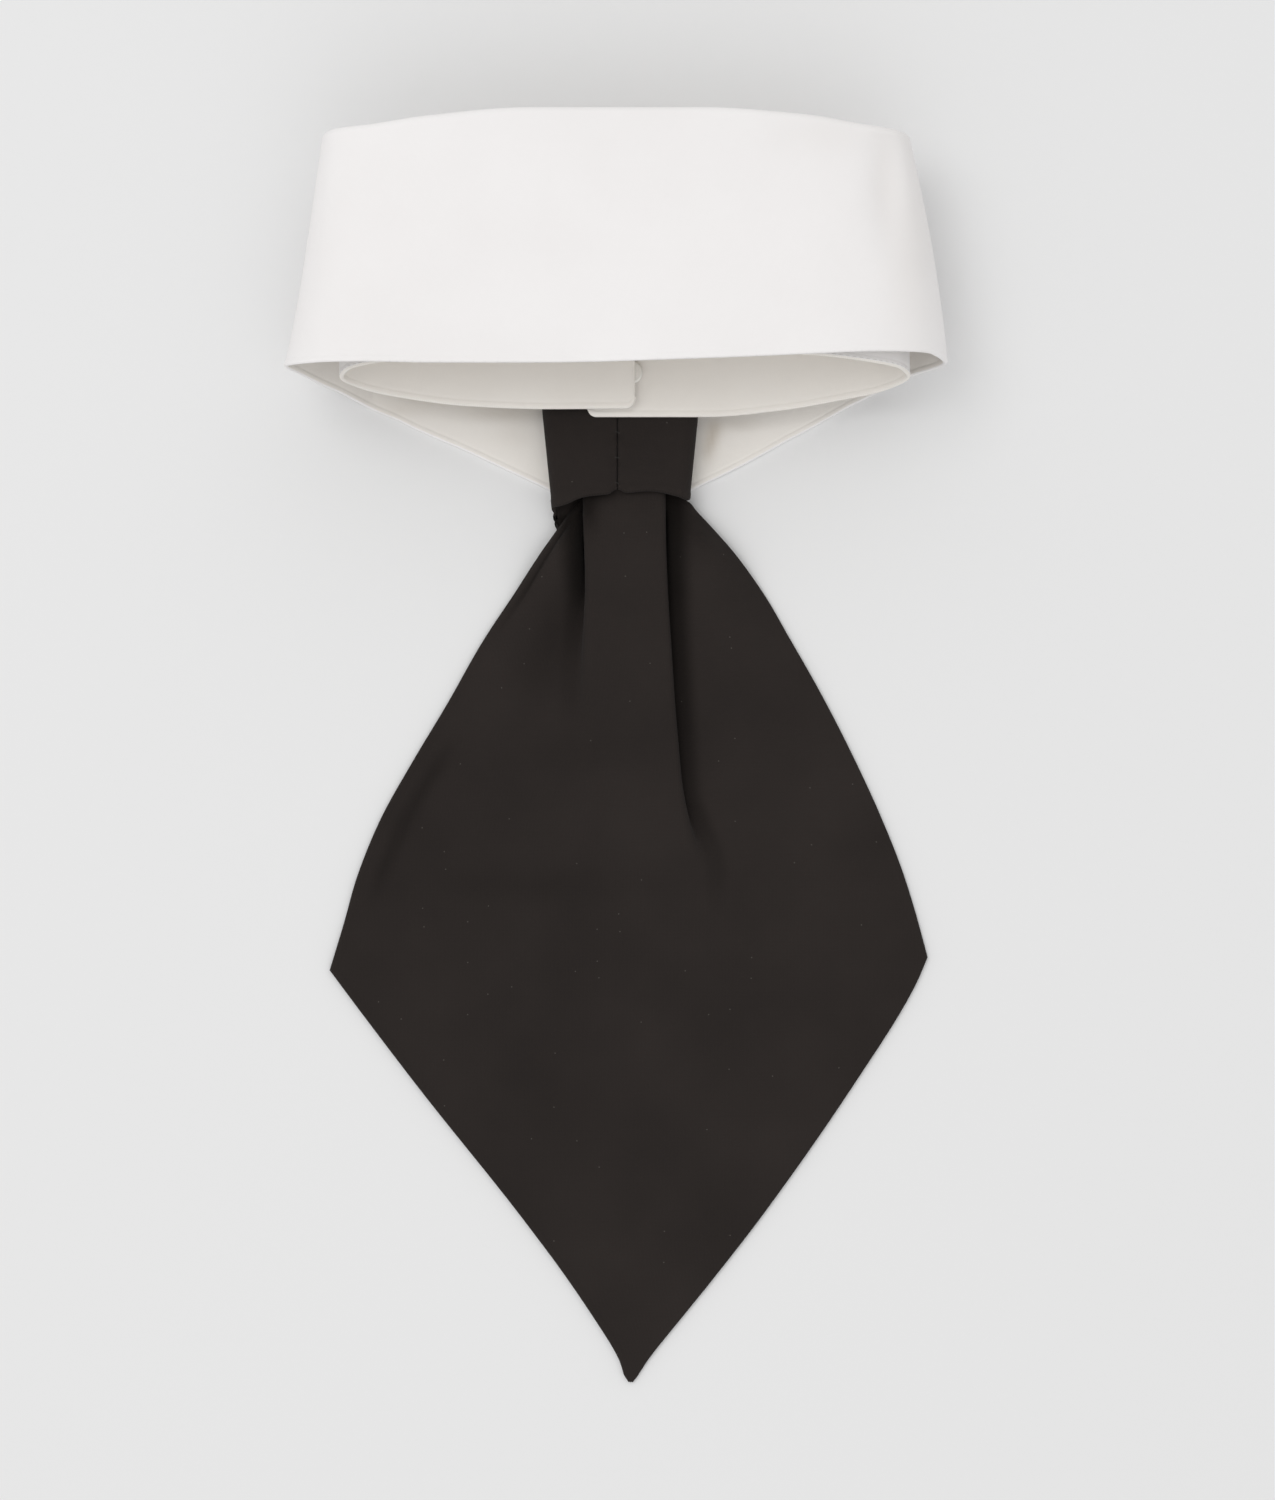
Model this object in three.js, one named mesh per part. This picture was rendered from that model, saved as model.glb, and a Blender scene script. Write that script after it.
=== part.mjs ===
import * as THREE from 'three'

// Bib collar necktie lying face down: a closed fold collar with a ready-tied wide tie.
// X runs across the neck, Y from the tie's tip to the collar's fold, Z up from the table.

// Cloth and clearances
const collarCloth = 1.2
const tieCloth = 1.4
const gap = 0.3

// Collar
const neckHalf = 84.6 // half the flattened neck loop, at its lower rim
const foldHalf = 85.8 // the same at the fold
const rimShift = 2.4 // the loop leans to the right at its rim
const foldShift = -0.3
const loopDepth = 32.8 // from the front of the neck loop to its back
const rimHeight = 293 // front rim above the tie's tip
const rimSlant = 17.6 // back rim above front rim
const foldHeight = 72 // fold above rim at the front
const foldSlant = 17.8 // fold at the back above fold at the front
const hemRise = 14.1 // hem of the fall at the back, above the front rim
const pointDrop = 24 // collar points below the front rim
const hemFlare = 15.7 // how far the fall stands off at its hem
const returnDepth = 6 // edge of the fall turned in over the stand
const overlap = 14.2 // ends of the stand over each other
const endShift = 2.5 // middle of that overlap, to the left
const pointSpread = 12.6 // each point further from the middle than its start at the fold
const frontGap = 4 // between the fall's two ends at the fold
const spreadReach = 70 // length of fall that follows the spread points
const tabDrop = 14 // top corner of the stand's covered end, cut down by this

// Snap fastener between the stand's ends
const snapRadius = 3.5
const snapThickness = 2
const snapRise = 11.2 // above the rim of the end that covers it
const snapInset = 0.5 // its middle inside that end

// Knot
const knotDepth = 10.6
const knotFoot = 42.5 // width at its lower edge
const knotHead = 54.2 // width at its upper edge
const knotDrop = 22.4 // back's lower edge below the collar's rim
const knotLength = 58.4 // back's lower edge to its upper edge
const knotApron = 15.4 // front's lower edge below the back's
const knotCorner = 3.6 // radius of its rounded sides
const knotSlope = 1 // how much flatter its back is at the lower edge
const knotHeadPinch = 2.4 // how much its head is pressed in from front and back
const headPinchShare = 0.35 // share of its length that this takes in
const cornerShare = 0.42 // most of its depth that one rounded corner takes
const seamGap = 0.4
const apronRollDrop = 4.9 // its left side is rolled up as far down as this below its edge
const apronRoll = 3.5 // and flat this much further down

// Blade
const bladeWidth = 182.6
const cornerHeight = 127.6 // side corners above the tip
const cornerSkew = 4 // right corner above the left one
const tipShift = 1.4 // tip right of the corners' middle
const bladeShift = 2.6 // corners' middle right of the knot's middle
const bladeTuck = 29 // length of blade inside the knot
const pleatDepth = 9
const pleatGap = 0.8 // between the layers of a pleat
const pleatWidth = 25 // visible band between the two pleats
const bandShift = 1.8
const pleatFade = 82 // where the left pleat has opened out, below the knot
const wingArch = 5 // rise of each wing between its free edge and the pleat
const archStart = 2 // where that begins, below the knot
const archFull = 16
const wingSeat = 1.2 // the wing lies flat as near as this to its pleat
const rampLength = 18 // slope from the table up to the knot
const tipEven = { from: 0.55, to: 0.25 } // shares of the width where the columns even out

// Heights of the layers, counted up from the table
const wingLevel = collarCloth / 2
const knotFloor = collarCloth + gap
const knotTop = knotFloor + knotDepth
const outerEndLevel = knotTop + gap + collarCloth / 2
const innerEndLevel = outerEndLevel + collarCloth + 2 * gap + snapThickness
const backLevel = outerEndLevel + loopDepth
const tieFloor = knotFloor + tieCloth + gap
const knotEdge = rimHeight - knotDrop
const foldRadius = collarCloth + gap

// Places across the neck of the stand's two ends
const coveredEnd = -endShift - overlap / 2
const upperEnd = -endShift + overlap / 2

// Sections round the neck loop, from the stand's covered end over the right side and the
// back to its upper end. x: share of the half width. level: share of the loop's depth.
// rim, fold: shares of their slants. flare: share of hemFlare. hem: share of the way from
// the points' height to the hem's height at the back. curl: how early the fall stands off.
const loopSections = [
  { x: -0.113, level: 0, rim: 0.02, fold: 0, flare: 1.35, hem: -0.3, curl: 3 },
  { x: 0.29, level: 0, rim: 0.02, fold: 0.02, flare: 1.35, hem: 0.13, curl: 3 },
  { x: 0.57, level: 0.02, rim: 0.14, fold: 0.13, flare: 1.3, hem: 0.47, curl: 2.8 },
  { x: 0.77, level: 0.08, rim: 0.3, fold: 0.34, flare: 1.15, hem: 0.75, curl: 2 },
  { x: 0.92, level: 0.22, rim: 0.44, fold: 0.54, flare: 0.84, hem: 0.96, curl: 1.5 },
  { x: 1, level: 0.46, rim: 0.62, fold: 0.65, flare: 0.62, hem: 1.03, curl: 1.3 },
  { x: 0.965, level: 0.7, rim: 0.74, fold: 0.68, flare: 0.47, hem: 1.07, curl: 1.2 },
  { x: 0.85, level: 0.88, rim: 0.83, fold: 0.73, flare: 0.34, hem: 1.05, curl: 1.1 },
  { x: 0.65, level: 0.975, rim: 0.93, fold: 0.87, flare: 0.26, hem: 1, curl: 1.1 },
  { x: 0.3, level: 1, rim: 1, fold: 0.98, flare: 0.22, hem: 1, curl: 1 },
  { x: -0.3, level: 1, rim: 1, fold: 0.98, flare: 0.22, hem: 1, curl: 1 },
  { x: -0.65, level: 0.97, rim: 0.93, fold: 0.85, flare: 0.3, hem: 0.99, curl: 1.1 },
  { x: -0.86, level: 0.87, rim: 0.82, fold: 0.72, flare: 0.5, hem: 1.02, curl: 0.9 },
  { x: -0.97, level: 0.69, rim: 0.72, fold: 0.69, flare: 0.74, hem: 1.03, curl: 0.85 },
  { x: -1, level: 0.44, rim: 0.6, fold: 0.66, flare: 0.96, hem: 1.03, curl: 0.85 },
  { x: -0.94, level: 0.2, rim: 0.47, fold: 0.56, flare: 1.06, hem: 0.94, curl: 1 },
  { x: -0.8, level: 0.06, rim: 0.33, fold: 0.38, flare: 1.2, hem: 0.72, curl: 1.8 },
  { x: -0.56, level: 0.01, rim: 0.19, fold: 0.16, flare: 1.3, hem: 0.38, curl: 2.8 },
  { x: -0.28, level: 0, rim: 0.14, fold: 0.03, flare: 1.35, hem: 0.08, curl: 3 },
  { x: 0.054, level: 0, rim: 0.15, fold: 0, flare: 1.35, hem: -0.3, curl: 3 },
]

// Edges of the blade above its side corners. up: share of the way from the corners to the
// knot's lower edge. left, right: shares of half the blade's width, from the knot's middle.
const bladeShoulder = [
  { up: 0, left: -0.972, right: 1.028 },
  { up: 0.1, left: -0.924, right: 0.986 },
  { up: 0.19, left: -0.884, right: 0.942 },
  { up: 0.31, left: -0.808, right: 0.868 },
  { up: 0.44, left: -0.694, right: 0.775 },
  { up: 0.57, left: -0.569, right: 0.672 },
  { up: 0.69, left: -0.449, right: 0.564 },
  { up: 0.78, left: -0.352, right: 0.482 },
  { up: 0.86, left: -0.275, right: 0.394 },
  { up: 0.91, left: -0.22, right: 0.322 },
  { up: 0.96, left: -0.162, right: 0.244 },
  { up: 1, left: -0.118, right: 0.195 },
  { up: 1.2, left: -0.112, right: 0.18 },
]

// Lower edges of the blade, from tip to corner. up: share of the corner's height.
// left, right: shares of each corner's distance from the tip. The left edge bows in, the
// right one out.
const bladeTip = [
  { up: 0, left: 0.006, right: 0.006 },
  { up: 0.005, left: 0.013, right: 0.015 },
  { up: 0.014, left: 0.023, right: 0.027 },
  { up: 0.05, left: 0.042, right: 0.055 },
  { up: 0.15, left: 0.126, right: 0.158 },
  { up: 0.4, left: 0.372, right: 0.442 },
  { up: 0.7, left: 0.694, right: 0.74 },
  { up: 0.93, left: 0.93, right: 0.956 },
  { up: 1, left: 1, right: 1 },
]

// How far each pleat has opened. down: share of its fade below the knot's lower edge.
// depth: share of pleatDepth. turn: share of a half turn. drift: share of its sideways way.
// arch: share of wingArch in the wing beside it. The left one opens out early and softly.
const leftPleat = {
  stretch: 1,
  drift: 5,
  rows: [
    { down: -0.4, depth: 1, turn: 1, drift: 0, arch: 0.9 },
    { down: 0.05, depth: 0.75, turn: 1, drift: 0.04, arch: 0.9 },
    { down: 0.25, depth: 0.06, turn: 0.96, drift: 0.15, arch: 0.8 },
    { down: 0.45, depth: 0.06, turn: 0.6, drift: 0.36, arch: 0.45 },
    { down: 0.68, depth: 0.06, turn: 0.3, drift: 0.64, arch: 0.15 },
    { down: 1, depth: 0.06, turn: 0, drift: 1, arch: 0 },
  ],
}
const rightPleat = {
  stretch: 1.4,
  drift: 7,
  rows: [
    { down: -0.4, depth: 1, turn: 1, drift: 0, arch: 1 },
    { down: 0.1, depth: 0.85, turn: 1, drift: 0.06, arch: 1 },
    { down: 0.5, depth: 0.3, turn: 1, drift: 0.4, arch: 0.62 },
    { down: 0.72, depth: 0.06, turn: 0.96, drift: 0.68, arch: 0.28 },
    { down: 0.86, depth: 0.06, turn: 0.6, drift: 0.86, arch: 0.1 },
    { down: 1, depth: 0.06, turn: 0, drift: 1, arch: 0 },
  ],
}

// Lower edge of the knot. around: share of the way round from the back seam, over the right
// side. drop: share of knotApron below the back's lower edge.
const knotHem = [
  { around: 0, drop: 0.02 },
  { around: 0.1, drop: -0.03 },
  { around: 0.2, drop: 0.08 },
  { around: 0.25, drop: 0 },
  { around: 0.31, drop: -0.08 },
  { around: 0.37, drop: 0.2 },
  { around: 0.46, drop: 0.9 },
  { around: 0.58, drop: 1.04 },
  { around: 0.69, drop: 1 },
  { around: 0.714, drop: 0.92 },
  { around: 0.735, drop: 0.4 },
  { around: 0.77, drop: 0.33 },
  { around: 0.8, drop: 0.33 },
  { around: 0.9, drop: 0.14 },
  { around: 1, drop: 0.02 },
]

// Half section of the snap from its lower face up. out: share of its radius. up: share of
// its thickness.
const snapProfile = [
  { out: 0, up: 0 },
  { out: 1, up: 0 },
  { out: 1, up: 0.35 },
  { out: 0.75, up: 0.45 },
  { out: 0.75, up: 0.6 },
  { out: 0.9, up: 0.7 },
  { out: 0.9, up: 1 },
  { out: 0, up: 1 },
]

const { lerp, smoothstep, clamp } = THREE.MathUtils

// Slope of a table's column at one row, level where the column turns back.
function slopeAt(rows, along, key, i) {
  const slope = (a, b) => (b[key] - a[key]) / (b[along] - a[along])
  const before = slope(rows[Math.max(i - 1, 0)], rows[Math.max(i, 1)])
  const after = slope(rows[Math.min(i, rows.length - 2)], rows[Math.min(i + 1, rows.length - 1)])
  return before * after <= 0 ? 0 : (2 * before * after) / (before + after)
}

// Reads a column as a smooth line through its rows.
function column(rows, along, key, at) {
  let i = 0
  while (i < rows.length - 2 && at > rows[i + 1][along]) i++
  const span = rows[i + 1][along] - rows[i][along]
  const s = clamp((at - rows[i][along]) / span, 0, 1)
  const ease = s * s * (3 - 2 * s)
  const leave = slopeAt(rows, along, key, i) * (1 - s)
  const arrive = slopeAt(rows, along, key, i + 1) * s
  return lerp(rows[i][key], rows[i + 1][key], ease) + span * s * (1 - s) * (leave - arrive)
}

// Splits each interval of a table into equal steps.
function steps(rows, along, count) {
  const list = [rows[0][along]]
  for (let i = 1; i < rows.length; i++) {
    for (let k = 1; k <= count; k++) list.push(lerp(rows[i - 1][along], rows[i][along], k / count))
  }
  return list
}

// Cloth wall of even thickness round a grid of points on its middle surface.
function clothWall(grid, thickness) {
  const rows = grid.length
  const cols = grid[0].length
  const along = new THREE.Vector3()
  const across = new THREE.Vector3()
  const places = []
  for (const side of [0.5, -0.5]) {
    for (let r = 0; r < rows; r++) {
      for (let c = 0; c < cols; c++) {
        along.subVectors(grid[r][Math.min(c + 1, cols - 1)], grid[r][Math.max(c - 1, 0)])
        across.subVectors(grid[Math.min(r + 1, rows - 1)][c], grid[Math.max(r - 1, 0)][c])
        const out = along.clone().cross(across).setLength(side * thickness)
        places.push(...out.add(grid[r][c]).toArray())
      }
    }
  }
  const faces = []
  const quad = (a, b, c, d) => faces.push(a, b, c, a, c, d)
  const front = (r, c) => r * cols + c
  const back = (r, c) => rows * cols + r * cols + c
  for (let r = 0; r < rows - 1; r++) {
    for (let c = 0; c < cols - 1; c++) {
      quad(front(r, c), front(r, c + 1), front(r + 1, c + 1), front(r + 1, c))
      quad(back(r, c), back(r + 1, c), back(r + 1, c + 1), back(r, c + 1))
    }
    quad(front(r, 0), front(r + 1, 0), back(r + 1, 0), back(r, 0))
    quad(front(r, cols - 1), back(r, cols - 1), back(r + 1, cols - 1), front(r + 1, cols - 1))
  }
  for (let c = 0; c < cols - 1; c++) {
    quad(front(0, c), back(0, c), back(0, c + 1), front(0, c + 1))
    quad(front(rows - 1, c), front(rows - 1, c + 1), back(rows - 1, c + 1), back(rows - 1, c))
  }
  return shape(places, faces)
}

function shape(places, faces) {
  const geometry = new THREE.BufferGeometry()
  geometry.setAttribute('position', new THREE.Float32BufferAttribute(places, 3))
  geometry.setIndex(faces)
  geometry.computeVertexNormals()
  return geometry
}

// Level of a section: its front half rests on the knot or on the other end of the stand.
function sectionLevel(section, i) {
  const front = i < loopSections.length / 2 ? outerEndLevel : innerEndLevel
  return lerp(front, backLevel, section.level)
}

// Gives each section its distance round the loop and its two half widths in millimetres.
function measureLoop() {
  const list = loopSections.map((section, i) => {
    const rimX = section.x * neckHalf + rimShift
    const foldX = section.x * foldHalf + foldShift
    return { ...section, at: 0, rimX, foldX, z: sectionLevel(section, i) }
  })
  Object.assign(list[0], { rimX: coveredEnd, foldX: coveredEnd })
  Object.assign(list.at(-1), { rimX: upperEnd, foldX: upperEnd })
  for (let i = 1; i < list.length; i++) {
    const before = list[i - 1]
    list[i].at = before.at + Math.hypot(list[i].rimX - before.rimX, list[i].z - before.z)
  }
  return list
}
const loop = measureLoop()
const loopLength = loop.at(-1).at
const loopAt = (key, at) => column(loop, 'at', key, at)

const rimAt = (at) => rimHeight + rimSlant * loopAt('rim', at)
const foldAt = (at) => rimHeight + foldHeight + foldSlant * loopAt('fold', at)
const crownAt = (at) => foldAt(at) - collarCloth / 2 - foldRadius // middle of the fold's turn

// A point at a distance round the loop, a height, and a distance out from the stand.
function loopPoint(at, y, out) {
  const probe = 0.5
  const rise = clamp((y - rimAt(at)) / (foldAt(at) - rimAt(at)), 0, 1)
  const place = (s) => [lerp(loopAt('rimX', s), loopAt('foldX', s), rise), loopAt('z', s)]
  const [x, z] = place(at)
  const [nextX, nextZ] = place(Math.min(at + probe, loopLength))
  const [lastX, lastZ] = place(Math.max(at - probe, 0))
  const run = Math.hypot(nextX - lastX, nextZ - lastZ)
  const level = z - (out * (nextX - lastX)) / run
  return new THREE.Vector3(x + (out * (nextZ - lastZ)) / run, y, level)
}

// Neck band. Its covered end has its upper corner cut down to pass under the fall.
function stand() {
  const upShares = [0, 0.06, 0.3, 0.55, 0.8, 1]
  const stations = steps(loop, 'at', 3)
  const top = (at) => {
    const cut = tabDrop * (1 - smoothstep(at, 0, overlap + frontGap))
    return crownAt(at) - cut
  }
  return upShares.map((up) =>
    stations.map((at) => loopPoint(at, lerp(rimAt(at), top(at), up), 0)))
}

// Fall: turned in over the stand, over the fold, and down and out to its hem and points.
function fall() {
  const turnSteps = 5
  const panelShares = [0.05, 0.12, 0.22, 0.34, 0.48, 0.64, 0.82, 1]
  const start = frontGap / 2 - coveredEnd
  const end = loopLength - upperEnd - frontGap / 2
  const leastStep = 4
  const inner = loop.map((s) => s.at).filter((at) => at > start + leastStep && at < end - leastStep)
  const stations = steps([start, ...inner, end].map((at) => ({ at })), 'at', 3)
  const slide = (at, down) => {
    const fromStart = clamp(1 - (at - start) / spreadReach, 0, 1) ** 2
    const fromEnd = clamp(1 - (end - at) / spreadReach, 0, 1) ** 2
    return at + pointSpread * down * (fromStart - fromEnd)
  }
  const grid = []
  grid.push(stations.map((at) => loopPoint(at, crownAt(at) - returnDepth, -foldRadius)))
  for (let k = 0; k <= turnSteps; k++) {
    const turn = Math.PI * (k / turnSteps)
    const out = -foldRadius * Math.cos(turn)
    grid.push(stations.map((at) => loopPoint(at, crownAt(at) + foldRadius * Math.sin(turn), out)))
  }
  for (const down of panelShares) {
    grid.push(stations.map((station) => {
      const at = slide(station, down)
      const hem = rimHeight + lerp(-pointDrop, hemRise, loopAt('hem', at))
      const flare = hemFlare * loopAt('flare', at) * (1 - (1 - down) ** loopAt('curl', at))
      const point = loopPoint(at, lerp(crownAt(at), hem, down), foldRadius + flare)
      point.z = Math.max(point.z, wingLevel)
      return point
    }))
  }
  return grid
}

// Flattened tube of the knot, its two edges meeting in the back seam.
function knot() {
  const upShares = [0, 0.07, 0.14, 0.3, 0.5, 0.7, 0.86, 1]
  const cornerSteps = 5
  const topEdge = knotEdge + knotLength
  const widthAt = (y) => lerp(knotFoot, knotHead, (y - knotEdge) / knotLength)
  const pinchAt = (y) => knotHeadPinch * smoothstep(y, topEdge - knotLength * headPinchShare, topEdge)
  const slopeIn = (y) => knotSlope * (1 - smoothstep(y, knotEdge, rimHeight))
  const rolled = knotEdge - apronRollDrop
  const apronFlat = (y) => 1 - smoothstep(y, rolled - apronRoll, rolled)
  const ring = (y) => {
    const half = (widthAt(y) - tieCloth) / 2
    const low = knotFloor + tieCloth / 2 + pinchAt(y)
    const high = knotTop - tieCloth / 2 - pinchAt(y) - slopeIn(y)
    const r = Math.min(knotCorner, (high - low) * cornerShare)
    const points = [[seamGap / 2, high], [(half - r) / 2, high]]
    const corner = (cx, cz, from, flat) => {
      for (let k = 0; k <= cornerSteps; k++) {
        const turn = from - (Math.PI / 2) * (k / cornerSteps)
        points.push([cx + r * Math.cos(turn), lerp(cz + r * Math.sin(turn), low, flat)])
      }
    }
    corner(half - r, high - r, Math.PI / 2, 0)
    corner(half - r, low + r, 0, 0)
    for (const share of [0.5, 0, -0.5]) points.push([(half - r) * share, low])
    corner(r - half, low + r, -Math.PI / 2, apronFlat(y))
    corner(r - half, high - r, Math.PI, 0)
    points.push([(r - half) / 2, high], [-seamGap / 2, high])
    return points
  }
  const lengths = [0]
  ring(knotEdge).forEach(([x, z], i, points) => {
    if (i > 0) lengths.push(lengths[i - 1] + Math.hypot(x - points[i - 1][0], z - points[i - 1][1]))
  })
  const hem = (length) => {
    const around = length / lengths.at(-1)
    return knotEdge - knotApron * column(knotHem, 'around', 'drop', around)
  }
  return upShares.map((up) => lengths.map((length, i) => {
    const y = lerp(hem(length), topEdge, up)
    const [x, z] = ring(y)[i]
    return new THREE.Vector3(x, y, z)
  }))
}

// One pleat from its wing to the band: two equal turns with a straight between them, lying
// on each other while the pleat is closed and running out flat where it has opened.
function pleatLine(depth, turn) {
  const turnSteps = 4
  const turnLength = (Math.PI * (tieCloth + pleatGap)) / 2
  const first = []
  for (let k = 0; k <= turnSteps; k++) {
    const length = (turnLength * k) / turnSteps
    const a = (turn * k) / turnSteps
    first.push([length * (a ? Math.sin(a) / a : 1), length * (a ? (1 - Math.cos(a)) / a : 0)])
  }
  const [x, z] = first.at(-1)
  const end = [2 * x + depth * Math.cos(turn), 2 * z + depth * Math.sin(turn)]
  const second = first.map((p) => [end[0] - p[0], end[1] - p[1]]).reverse()
  return [...first, ...second]
}

// Both edges of the blade at one row, as points [x, y].
function bladeEdges(row) {
  return [-1, 1].map((side) => {
    const rise = cornerHeight + (side * cornerSkew) / 2
    if (row.lower !== undefined) {
      const corner = bladeShift + (side * bladeWidth) / 2
      const out = column(bladeTip, 'up', side < 0 ? 'left' : 'right', row.lower)
      return [lerp(bladeShift + tipShift, corner, out), rise * row.lower]
    }
    const share = column(bladeShoulder, 'up', side < 0 ? 'left' : 'right', row.upper)
    return [(share * bladeWidth) / 2, lerp(rise, knotEdge, row.upper)]
  })
}

// Blade: rows from the tip to inside the knot, each with a wing, a pleat, the band between
// the pleats, a pleat and a wing.
function blade() {
  const wingSteps = 4
  const bandSteps = 3
  const rows = bladeTip.slice(0, -1).map((row) => ({ lower: row.up }))
  const tucked = 1 + bladeTuck / (knotEdge - cornerHeight)
  const upper = steps(bladeShoulder.slice(0, -1), 'up', 2)
  for (const share of [...upper, (1 + tucked) / 2, tucked]) rows.push({ upper: share })
  return rows.map((row) => {
    const [[leftX, leftY], [rightX, rightY]] = bladeEdges(row)
    const middleY = (leftY + rightY) / 2
    const apronEdge = knotEdge - knotApron
    const floor = tieCloth / 2 + tieFloor * smoothstep(middleY, apronEdge - rampLength, apronEdge)
    const halves = [leftPleat, rightPleat].map((pleat, i) => {
      const side = i === 0 ? -1 : 1
      const below = knotEdge - middleY
      const down = clamp(below / (pleatFade * pleat.stretch), pleat.rows[0].down, 1)
      const share = (key) => column(pleat.rows, 'down', key, down)
      const turn = Math.PI * share('turn')
      const line = pleatLine(pleatDepth * share('depth'), turn)
      const overhang = (tieCloth + pleatGap / 2) * (1 - Math.cos(turn)) / 2
      const start = bandShift + side * (pleatWidth / 2 - overhang) + pleat.drift * share('drift')
      const [spanX, top] = line.at(-1)
      const edge = i === 0 ? leftX : rightX
      const outermost = spanX - Math.min(...line.map(([x]) => x)) + wingSeat
      const seat = start + side * Math.min(outermost, side * (edge - start) - wingSeat)
      const arch = wingArch * share('arch') * smoothstep(below, archStart, archFull)
      const wing = []
      for (let k = 0; k <= wingSteps; k++) {
        const across = k / wingSteps
        wing.push([lerp(edge, seat, across), arch * Math.sin(Math.PI * across)])
      }
      return { start, top, wing, line: line.map(([x, z]) => [start + side * (spanX - x), z]) }
    })
    const [left, right] = halves
    const points = [...left.wing, ...left.line]
    for (let k = 1; k < bandSteps; k++) {
      const across = k / bandSteps
      points.push([lerp(left.start, right.start, across), lerp(left.top, right.top, across)])
    }
    points.push(...right.line.reverse(), ...right.wing.reverse())
    const share = row.upper === undefined ? (rightX - leftX) / bladeWidth : 1
    const even = 1 - smoothstep(share, tipEven.to, tipEven.from)
    return points.map(([pointX, z], i) => {
      const x = lerp(pointX, lerp(leftX, rightX, i / (points.length - 1)), even)
      const y = lerp(leftY, rightY, (x - leftX) / (rightX - leftX))
      return new THREE.Vector3(x, y, floor + z)
    })
  })
}

// Snap fastener: two pressed discs with a waist between them, turned round its own axis.
function snap() {
  const base = outerEndLevel + collarCloth / 2 + gap
  const profile = snapProfile.map(({ out, up }) => new THREE.Vector2(out * snapRadius, up * snapThickness))
  const geometry = new THREE.LatheGeometry(profile, 20)
  geometry.rotateX(Math.PI / 2)
  geometry.translate(upperEnd - snapInset, rimAt(loopLength) + snapRise, base)
  return geometry
}

const cotton = new THREE.MeshStandardMaterial({ color: 0xf0edeb, roughness: 0.88, metalness: 0 })
const blackCloth = new THREE.MeshStandardMaterial({ color: 0x2b2624, roughness: 0.92, metalness: 0 })
const pressedMetal = new THREE.MeshStandardMaterial({ color: 0xc9c8c5, roughness: 0.35, metalness: 0.9 })

const group = new THREE.Group()

function addPiece(name, geometry, material) {
  const mesh = new THREE.Mesh(geometry, material)
  mesh.name = name
  group.add(mesh)
}

addPiece('collar_fall', clothWall(fall(), collarCloth), cotton)
addPiece('collar_stand', clothWall(stand(), collarCloth), cotton)
addPiece('snap_fastener', snap(), pressedMetal)
addPiece('tie_knot', clothWall(knot(), tieCloth), blackCloth)
addPiece('tie_blade', clothWall(blade(), tieCloth), blackCloth)

// The origin is under the middle of the whole piece, on the table.
const box = new THREE.Box3().setFromObject(group)
const middle = box.getCenter(new THREE.Vector3())
group.children.forEach((mesh) => mesh.geometry.translate(-middle.x, -middle.y, -box.min.z))

export default group
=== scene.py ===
import math
import bpy
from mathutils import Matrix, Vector, noise


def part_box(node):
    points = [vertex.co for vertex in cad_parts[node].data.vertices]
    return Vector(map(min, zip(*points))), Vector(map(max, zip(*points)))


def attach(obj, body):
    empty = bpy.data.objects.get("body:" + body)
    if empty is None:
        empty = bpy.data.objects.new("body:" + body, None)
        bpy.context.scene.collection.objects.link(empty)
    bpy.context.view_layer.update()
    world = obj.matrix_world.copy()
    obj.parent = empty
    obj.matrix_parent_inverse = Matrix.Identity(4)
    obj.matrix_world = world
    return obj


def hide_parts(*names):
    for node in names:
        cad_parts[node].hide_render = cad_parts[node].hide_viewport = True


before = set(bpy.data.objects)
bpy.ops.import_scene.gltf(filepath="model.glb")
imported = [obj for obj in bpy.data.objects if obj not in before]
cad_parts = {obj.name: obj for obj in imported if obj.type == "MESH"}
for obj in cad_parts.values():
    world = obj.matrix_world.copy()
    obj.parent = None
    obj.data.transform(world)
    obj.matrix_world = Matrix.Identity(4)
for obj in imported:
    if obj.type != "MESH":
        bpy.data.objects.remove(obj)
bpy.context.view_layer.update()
mm = 0.001
tiny = 1e-9

# camera straight overhead, light from the upper left
studio = {
    "cameraHeight": 1.4,
    "photoCentre": (6.5 * mm, 1.6 * mm),
    "photoWidth": 388.9 * mm,  # of the table in the picture
    "sensorWidth": 36,
    "floorColour": (0.79, 0.79, 0.79, 1),
    "floorReach": 9.0,
    "floorRoughness": 0.9,
    "floorGloss": 0.1,
    "worldLight": 0.775,
    "lights": {
        "key": {"power": 15.0, "size": 1.4, "place": (-0.95, 0.75, 2.3)},
        "fill": {"power": 5.0, "size": 2.0, "place": (0.2, -1.5, 2.2)},
    },
}


def lerp(a, b, s):
    return a + (b - a) * s


def clamp(v, low, high):
    return min(max(v, low), high)


def smoothStep(v, low, high):
    s = clamp((v - low) / (high - low), 0, 1)
    return s * s * (3 - 2 * s)


def table(names, *rows):
    return [dict(zip(names.split(), row)) for row in rows]


def slopeAt(rows, along, key, i):
    def slope(a, b):
        return (b[key] - a[key]) / (b[along] - a[along])
    before = slope(rows[max(i - 1, 0)], rows[max(i, 1)])
    after = slope(rows[min(i, len(rows) - 2)], rows[min(i + 1, len(rows) - 1)])
    return 0 if before * after <= 0 else 2 * before * after / (before + after)


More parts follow.
